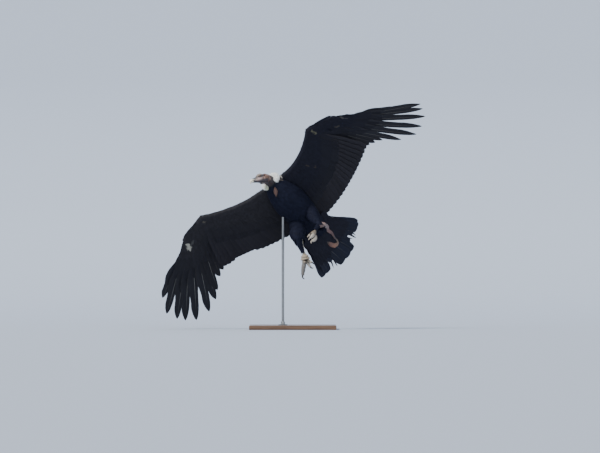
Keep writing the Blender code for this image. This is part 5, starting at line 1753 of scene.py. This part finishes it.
makeEyes()


# Feet: bare tarsi, balls and toes as one scaled skin, with separate claws
def turnedAbout(vector, axis, degrees):
    return np.array(Matrix.Rotation(math.radians(degrees), 3, Vector(axis)) @ Vector(vector))


def chain(start, way, sole, length, bend, steps):
    way, sole = unit(np.array(way, float)), np.array(sole, float)
    axis = unit(np.cross(way, sole))
    places = [np.array(start, float)]
    for step in range(steps):
        if step:
            way = turnedAbout(way, axis, bend)
        places.append(places[-1] + way * length / steps)
    return places, way


def scutes(count, depth):
    # broad scales across the top of a toe and pads under it
    def relief(angle, v):
        saw = (v * count) % 1.0
        top = np.clip(np.sin(angle), 0, 1)
        pad = np.clip(-np.sin(angle), 0, 1)
        return 1 + depth * top * (saw * 1.2 - 0.6) + 0.12 * pad * np.abs(np.sin(v * math.pi * 3.5))

    return relief


footTones = {
    "scales": (0.43, 0.385, 0.32), "ball": (0.33, 0.255, 0.165), "creaseShade": (0.06, 0.042, 0.03),
    "brown": (0.15, 0.11, 0.075), "heel": (0.24, 0.165, 0.15), "shank": (0.012, 0.01, 0.011),
    # painted highlight: the left claws are pale, the right ones keep the dark horn
    "middleToeShade": (0.1, 0.092, 0.088), "claws": {"left": (0.3, 0.26, 0.21), "right": (0.03, 0.027, 0.027)},
}
toeGirths = {
    "hind": (0.0085, 0.0078, 0.008, 0.007, 0.0062),
    "front": (0.0108, 0.0092, 0.0098, 0.0082, 0.0066),
}
heelBulges = (  # how far out, where along the shank, and radii
    (0.03, (-0.02, -0.008, 0.006, 0.018), (0.008, 0.0145, 0.015, 0.008)),
    (0.014, (-0.026, -0.01, 0.008, 0.024), (0.01, 0.0165, 0.017, 0.01)),
)


def distance(points, place):
    return np.linalg.norm(points - place, axis=1)


def footColours(word, leg, points, knuckles, toes):
    heel, foot = (np.array(leg[key]) for key in ("heel", "foot"))
    down = unit(foot - heel)
    below = (points - foot) @ down
    colour = np.tile(footTones["scales"], (len(points), 1)) * uneven(points, 0.16, 0.016, 63)
    colour = tint(colour, footTones["ball"], ease((leg["ball"] * 1.6 - distance(points, foot)) / 0.012) * 0.7)
    for place, wide, thick in knuckles:
        # painted shade in the creases between the knuckle's folds
        off = np.abs((points - place) @ down - thick)
        creaseShade = ease((0.0022 - off) / 0.0018) * ease((wide * 1.5 - distance(points, place)) / 0.006)
        colour = tint(colour, footTones["creaseShade"], creaseShade * 0.7)
    near = np.sort([np.linalg.norm(points[:, None] - toe[None], axis=2).min(1) for toe in toes], axis=0)
    # painted shade where the toes meet
    between = ease((0.005 - (near[1] - near[0])) / 0.004) * ease((distance(points, foot) - 0.014) / 0.01)
    colour = tint(colour, black, 0.85 * between * ease((below + 0.004) / 0.01))
    if word == "left":
        # grey-pink heel, and dark down the shank to the pale foot
        colour = tint(colour, footTones["brown"], ease((0.024 - below) / 0.02) * 0.55)
        share = (points - heel) @ down / np.linalg.norm(foot - heel)
        colour = tint(colour, footTones["heel"], ease((0.26 - share) / 0.1))
        bare = ease((share - 0.16) / 0.12) * ease((0.74 - share) / 0.12)
        return tint(colour, footTones["shank"], bare * 0.96)
    # painted shade: the right foot's long middle toe is darker past its base
    way = unit(np.array(leg["toes"][0][1]))
    along = (points - foot) @ way
    off = distance(points, foot + along[:, None] * way)
    onToe = ease((along - 0.02) / 0.02) * ease((0.024 - off) / 0.008)
    return tint(colour, footTones["middleToeShade"], onToe * 0.85)


def ringed(angle, v):
    # low scales round the front of the shank
    return 1 + 0.035 * (((v * 22 + 0.15 * np.sin(angle)) % 1.0) - 0.5) * np.clip(np.cos(angle), 0, 1)


def makeLeg(word, leg):
    knee, heel, foot = (np.array(leg[key]) for key in ("knee", "heel", "foot"))
    down = unit(foot - heel)
    ball = leg["ball"]
    joints = [blend(knee, heel, 0.92), heel, *(blend(heel, foot, share) for share in (0.18, 0.45, 0.72)),
              blend(foot, heel, 0.1), foot + down * 0.004, foot + down * 0.014]
    radii = (0.015, 0.0165, 0.0128, 0.0107, 0.0112, 0.85 * ball, ball, 0.7 * ball)
    parts = [sheetFrom(tubeSkin(joints, radii, (1, 0, 0), 1.0, 0.05, ringed), 48, 160)]
    for out, places, radii in heelBulges if word == "left" else ():
        line = [heel + np.array(leg["bare"]) * out + down * along for along in places]
        parts.append(sheetFrom(tubeSkin(line, radii, (1, 0, 0), 1.0, 0.15), 40, 50))
    knuckles = [(foot + down * along, wide, thick) for along, wide, thick in leg["knuckles"]]
    around = unit(np.cross(down, (1.0, 0, 0)))
    for place, wide, thick in knuckles:
        ring = loopSkin(place, around, np.cross(down, around), wide, wide * 0.9, thick)
        parts.append(sheetFrom(ring, 48, 16))
    claws, toes = [], []
    top = -np.array(leg["sole"], float)
    for name, way, length, bend, claw in leg["toes"]:
        way = unit(np.array(way))
        places, onwards = chain(foot + way * 0.004, way, leg["sole"], length, bend, 4)
        toes.append(smoothTable(np.column_stack((np.arange(5), places)), np.linspace(0, 4, 41)))
        girth = np.array(toeGirths["hind" if name == "hind" else "front"]) * leg["girth"]
        girth = girth * (leg["long"] if name == "middle" else 1.0)
        scales = scutes(round(length / 0.0058), 0.1)
        parts.append(sheetFrom(tubeSkin(places, girth, top, 0.92, 0.06, scales), 36, 110))
        places, _ = chain(places[-1] - onwards * 0.0035, onwards, leg["sole"], claw + 0.004, 26, 4)
        claws.append((name, tubeSkin(places, (0.0054, 0.0052, 0.0042, 0.0028, 0.0007), top, 1.12, 0.03)))
    skin = oneSkin("foot" + word.title(), parts, 0.0011, 1)
    push(skin, rumple(readPoints(skin), 0.006, 61) * 0.0003)
    setTone(skin, footColours(word, leg, readPoints(skin), knuckles, toes))
    rideSkin(skin, "legScales", "leg", "tarsus_" + word, "foot_" + word)
    for name, horn in claws:
        mesh = sheetFrom(horn, 24, 40)
        mesh.name = "claw" + word.title() + name.title()
        mesh.shade_smooth()
        setTone(mesh, np.tile(footTones["claws"][word], (len(mesh.vertices), 1)))
        rideSkin(mesh, "clawHorn", "claw", "claw_%s_%s" % (word, name))


for word, leg in legs.items():
    makeLeg(word, leg)


def makeCrop():
    aside = unit(np.cross(cropAxis, (0.55, 0.05, -0.83)))

    def lens(u, v):
        c, s = np.cos(u * fullTurn), np.sin(u * fullTurn)
        along = c * v * cropLong * 1.1
        wide = s * v * cropPlan["wide"] * 1.25 * (1 - 0.25 * c ** 2 + 0.3 * c)
        points = np.array(cropPlan["middle"]) + along[..., None] * cropAxis + wide[..., None] * aside
        ripple = 0.0011 * np.sin(along * 260 + 2.5 * np.sin(wide * 190))
        ripple = ripple + 0.0007 * np.sin(wide * 900 + along * 150)
        return ontoTrunk(points, (cropPlan["swell"] + ripple) * (1 - v**4) - 0.003 * v**4)

    skin = sheetFrom(lens, 72, 26)
    skin.shade_smooth()
    skin.name = "cropSkin"
    points = readPoints(skin)
    colour = np.array(cropPlan["tone"]) * uneven(points, 0.3, 0.012, 71)
    setTone(skin, tint(colour, cropPlan["rim"], ease((cropShare(points) - 0.65) / 0.35)))
    rideSkin(skin, "bareSkin", "skin")


makeCrop()

ventPlan = {
    "line": (
        (-0.222, 0.074, -0.05), (-0.262, 0.062, -0.018), (-0.3, 0.048, 0.006), (-0.346, 0.05, 0.02),
        (-0.395, 0.04, 0.024), (-0.434, 0.036, 0.036), (-0.45, 0.024, 0.034), (-0.44, 0.001, 0.026),
        (-0.405, -0.011, 0.011), (-0.364, -0.016, -0.003),
    ),
    "fat": (0.013, 0.0165, 0.014, 0.01, 0.0065, 0.0065, 0.0115, 0.0185, 0.0155, 0.006),
    # the fold's warm pink-browns are partly the worn feathers' own colour, partly painted sunlight
    "colours": (
        (0.21, 0.16, 0.15), (0.2, 0.14, 0.13), (0.17, 0.095, 0.085), (0.13, 0.07, 0.065),
        (0.08, 0.055, 0.05), (0.1, 0.075, 0.055), (0.2, 0.12, 0.085), (0.26, 0.13, 0.085),
        (0.16, 0.075, 0.055), (0.04, 0.025, 0.02),
    ),
}


def makeVent():
    tube = sheetFrom(tubeSkin(ventPlan["line"], ventPlan["fat"], tailTurn[:, 2], 0.45, 0.06), 24, 140)
    skin = oneSkin("ventFold", [tube], 0.0018, 2)
    points = readPoints(skin)
    push(skin, rumple(points, 0.01, 81) * 0.0009 + rumple(points, 0.03, 85) * 0.0014)
    points = readPoints(skin)
    line = np.array(ventPlan["line"])
    away = np.linalg.norm(points[:, None] - line[None], axis=2)
    weight = np.exp(-((away / 0.018) ** 2)) + 1e-9
    colour = weight @ np.array(ventPlan["colours"]) / weight.sum(1, keepdims=True)
    setTone(skin, colour * uneven(points, 0.2, 0.009, 83))
    rideSkin(skin, "bareSkin", "skin")


makeVent()


# Skin under the feathers
def trunkSkin(u, v):
    place, out = normalsOf(trunkSurface, u * fullTurn, v * 0.562)
    return place + out * 0.004


def wingSkin(wing):
    over, under = wingSurface(wing, True), wingSurface(wing, False)

    def skin(u, v):
        q = v * (over.count - 1.3)
        share = 1 - np.abs(u * 2 - 1)
        d = 0.004 + share * (over.flesh(q) * 1.02 - 0.004)
        high, low = over(q, d), under(q, d)
        thin = np.clip(1 - 0.003 / np.maximum(np.linalg.norm(high - low, axis=-1) / 2, 0.003), 0.25, 1)
        rounding = dome(np.minimum(share / 0.06, (1 - share) / 0.04), 1)
        face = np.where(u < 0.5, 1, -1) * rounding * thin
        return (high + low) / 2 + (high - low) / 2 * face[..., None]

    return skin


def makeBodySkin():
    parts = [sheetFrom(trunkSkin, 64, 80)]
    for wing in wings.values():
        parts.append(sheetFrom(wingSkin(wing), 60, 120))
    for leg in legs.values():
        surface = thighSurface(leg)

        def thigh(u, v):
            place, out = normalsOf(surface, u * fullTurn, v * surface.length * 0.98)
            return place - out * 0.003

        parts.append(sheetFrom(thigh, 32, 30))
    near, far = tailSheet(True), tailSheet(False)

    def tailRoot(u, v):
        q = np.where(u < 0.5, 4 * u - 1, 3 - 4 * u) * 0.92
        high, low = near(q, v * 0.13 - 0.06), far(q, v * 0.13 - 0.06)
        face = np.where(u < 0.5, 0.85, -0.85) * np.sqrt(1 - (q / 0.93) ** 4)
        return (high + low) / 2 + (high - low) / 2 * face[..., None]

    parts.append(sheetFrom(tailRoot, 40, 30))
    skin = oneSkin("bodySkin", parts, 0.005, 2)
    points = readPoints(skin)
    setTone(skin, withMarks(points, np.tile(np.array(tones["body"]) * 0.8, (len(points), 1))))
    rideSkin(skin, "featherBed", "plumage", "torso")


makeBodySkin()


# Floor, backdrop, light and camera
view = {
    "mmPerPixel": 7.13, "away": 40.0, "trunkPixel": (297.0, 208.6), "middle": (300.0, 226.5), "width": 600,
}


def setStage():
    mesh = bmesh.new()
    profile = [(-48.0, 0.0), (5.0, 0.0), (6.2, 0.22), (7.2, 0.9), (7.8, 2.0), (8.0, 9.0)]
    verts = [mesh.verts.new((-16.0, y, z - 0.0005)) for y, z in profile]
    edges = [mesh.edges.new(pair) for pair in zip(verts, verts[1:])]
    swept = bmesh.ops.extrude_edge_only(mesh, edges=edges)
    moved = [item for item in swept["geom"] if isinstance(item, bmesh.types.BMVert)]
    bmesh.ops.translate(mesh, vec=(32.0, 0, 0), verts=moved)
    mesh.normal_update()
    if sum(face.normal.z for face in mesh.faces) < 0:
        bmesh.ops.reverse_faces(mesh, faces=mesh.faces)
    data = asMesh(mesh, "studioFloor")
    data.shade_smooth()
    paint, tree, shader = newMaterial("paleFloor")
    feedAll(tree, shader, {"Base Color": (0.45, 0.51, 0.6, 1), "Roughness": 0.85})
    # the back wall doesn't hide the model from behind
    behind = addNode(tree, "NewGeometry").outputs["Backfacing"]
    either = addNode(tree, "MixShader")
    for number, value in enumerate((behind, shader.outputs[0], addNode(tree, "BsdfTransparent").outputs[0])):
        feed(tree, either.inputs[number], value)
    feed(tree, tree.nodes["Material Output"].inputs["Surface"], either.outputs[0])
    floor = addObject("studioFloor", data, [paint], False)


standPlan = {
    "size": (0.62, 0.52, 0.03), "round": 0.006, "rod": (-0.07, -0.046), "rodRadius": 0.009,
    "flange": 0.034, "flangeHeight": 0.012, "top": 0.8,
    "screws": 4, "screwRing": 0.0255, "screwRadius": 0.0042,
}


def makeWood():
    paint, tree, shader = newMaterial("oiledWood")
    place = addNode(tree, "Mapping", Vector=objectPlace(tree), Scale=(1.6, 22.0, 22.0)).outputs[0]
    grain = addNode(tree, "TexNoise", Vector=place, Scale=2.2, Detail=8.0, Roughness=0.62, Distortion=0.6)
    pores = addNode(tree, "TexNoise", Vector=place, Scale=14.0, Detail=3.0, Roughness=0.7)
    ramp = addNode(tree, "ValToRGB", Fac=grain.outputs[0])
    for stop, where, colour in zip(ramp.color_ramp.elements, (0.35, 0.65),
                                   ((0.085, 0.04, 0.018, 1), (0.2, 0.105, 0.05, 1))):
        stop.position, stop.color = where, colour
    holes = maths(tree, "MULTIPLY", maths(tree, "LESS_THAN", pores.outputs[0], 0.4), 0.35)
    bump = addNode(tree, "Bump", Strength=0.25, Distance=0.0006, Height=pores.outputs[0])
    feedAll(tree, shader, {
        "Base Color": mixColour(tree, holes, ramp.outputs[0], (0.035, 0.016, 0.008, 1)),
        "Normal": bump.outputs[0], "Roughness": 0.38, "Coat Weight": 0.15,
    })
    return paint


def makeSteel():
    paint, tree, shader = newMaterial("greySteel")
    noise = addNode(tree, "TexNoise", Vector=objectPlace(tree), Scale=35.0, Detail=4.0).outputs[0]
    feedAll(tree, shader, {
        "Base Color": mixColour(tree, noise, (0.2, 0.21, 0.22, 1), (0.3, 0.31, 0.32, 1)),
        "Roughness": maths(tree, "MULTIPLY_ADD", noise, 0.15, 0.28), "Metallic": 0.85,
    })
    return paint


def makeStand():
    size, thin = standPlan["size"], standPlan["rodRadius"]
    mesh = bmesh.new()
    bmesh.ops.create_cube(mesh, size=1)
    bmesh.ops.scale(mesh, vec=size, verts=mesh.verts)
    bmesh.ops.translate(mesh, vec=(0, 0, size[2] / 2), verts=mesh.verts)
    bmesh.ops.bevel(mesh, geom=list(mesh.edges), offset=standPlan["round"], segments=5, profile=0.5,
                    affect="EDGES", material=-1)
    base = asMesh(mesh, "woodenBase")
    base.shade_smooth()
    base.set_sharp_from_angle(angle=math.radians(40))
    rideRoot(addObject("woodenBase", base, [makeWood()], False), "base", "stand_base")

    bottom = size[2] + 0.0002
    high, wide, top = standPlan["flangeHeight"], standPlan["flange"], standPlan["top"] - bottom
    profile = (
        (0.0, 0.0), (wide - 0.001, 0.0), (wide, 0.001), (wide, 0.004), (wide - 0.002, 0.006),
        (0.0165, 0.0068), (0.015, 0.0085), (0.0142, high + 0.012), (0.0132, high + 0.014),
        (thin, high + 0.0145), (thin, top), (0.0, top),
    )
    mesh = bmesh.new()
    verts = [mesh.verts.new((x, 0, z)) for x, z in profile]
    edges = [mesh.edges.new(pair) for pair in zip(verts, verts[1:])]
    bmesh.ops.spin(mesh, geom=verts + edges, axis=(0, 0, 1), cent=(0, 0, 0), steps=64, angle=fullTurn,
                   use_merge=True)
    bmesh.ops.remove_doubles(mesh, verts=mesh.verts, dist=0.00001)
    for i in range(standPlan["screws"]):
        angle = math.pi / 4 + i * math.pi / 2
        spot = (math.cos(angle) * standPlan["screwRing"], math.sin(angle) * standPlan["screwRing"], 0.0058)
        made = bmesh.ops.create_uvsphere(mesh, u_segments=24, v_segments=12, radius=standPlan["screwRadius"])
        bmesh.ops.scale(mesh, vec=(1, 1, 0.45), verts=made["verts"])
        bmesh.ops.translate(mesh, vec=spot, verts=made["verts"])
    bmesh.ops.translate(mesh, vec=(*standPlan["rod"], bottom), verts=mesh.verts)
    bmesh.ops.recalc_face_normals(mesh, faces=mesh.faces)
    rod = asMesh(mesh, "steelRod")
    rod.shade_smooth()
    rod.set_sharp_from_angle(angle=math.radians(35))
    rideRoot(addObject("steelRod", rod, [makeSteel()], False), "steel", "stand_rod")


makeStand()


def addSun(name, place, strength, spread, colour):
    # as a broad, far studio lamp, which lights the floor evenly
    lamp = bpy.data.lights.new(name, "SUN")
    lamp.energy = strength
    lamp.angle = math.radians(spread)
    lamp.color = colour
    made = bpy.data.objects.new(name, lamp)
    made.location = place
    made.rotation_euler = (-Vector(place)).to_track_quat("-Z", "Y").to_euler()
    bpy.context.scene.collection.objects.link(made)


suns = (
    ("key", (-3.2, -2.0, 3.7), 3.8, 16, (1, 0.98, 0.95)),
    ("fill", (4.5, -7.0, 2.2), 0.6, 50, (0.95, 0.97, 1)),
    ("low", (-2.0, -7.0, 0.6), 0.45, 50, (1, 1, 1)),
)


def setLights():
    world = bpy.data.worlds.new("studio")
    world.use_nodes = True
    tree = world.node_tree
    feedAll(tree, tree.nodes["Background"], {"Color": (0.8, 0.87, 1.0, 1), "Strength": 0.72})
    bpy.context.scene.world = world
    for sun in suns:
        addSun(*sun)


def setCamera():
    trunk = Vector(posture["trunk"])
    scale = view["mmPerPixel"] / 1000
    x = trunk.x + (view["middle"][0] - view["trunkPixel"][0]) * scale
    z = trunk.z + (view["trunkPixel"][1] - view["middle"][1]) * scale
    data = bpy.data.cameras.new("photoCamera")
    data.sensor_width = 36.0
    data.lens = data.sensor_width * view["away"] / (view["width"] * scale)
    data.clip_end = 100
    camera = bpy.data.objects.new("photoCamera", data)
    camera.location = (x, trunk.y - view["away"], z)
    camera.rotation_euler = (math.radians(90), 0, 0)
    bpy.context.scene.collection.objects.link(camera)
    bpy.context.scene.camera = camera


setStage()
setLights()
setCamera()
print("stage, lights and camera set")
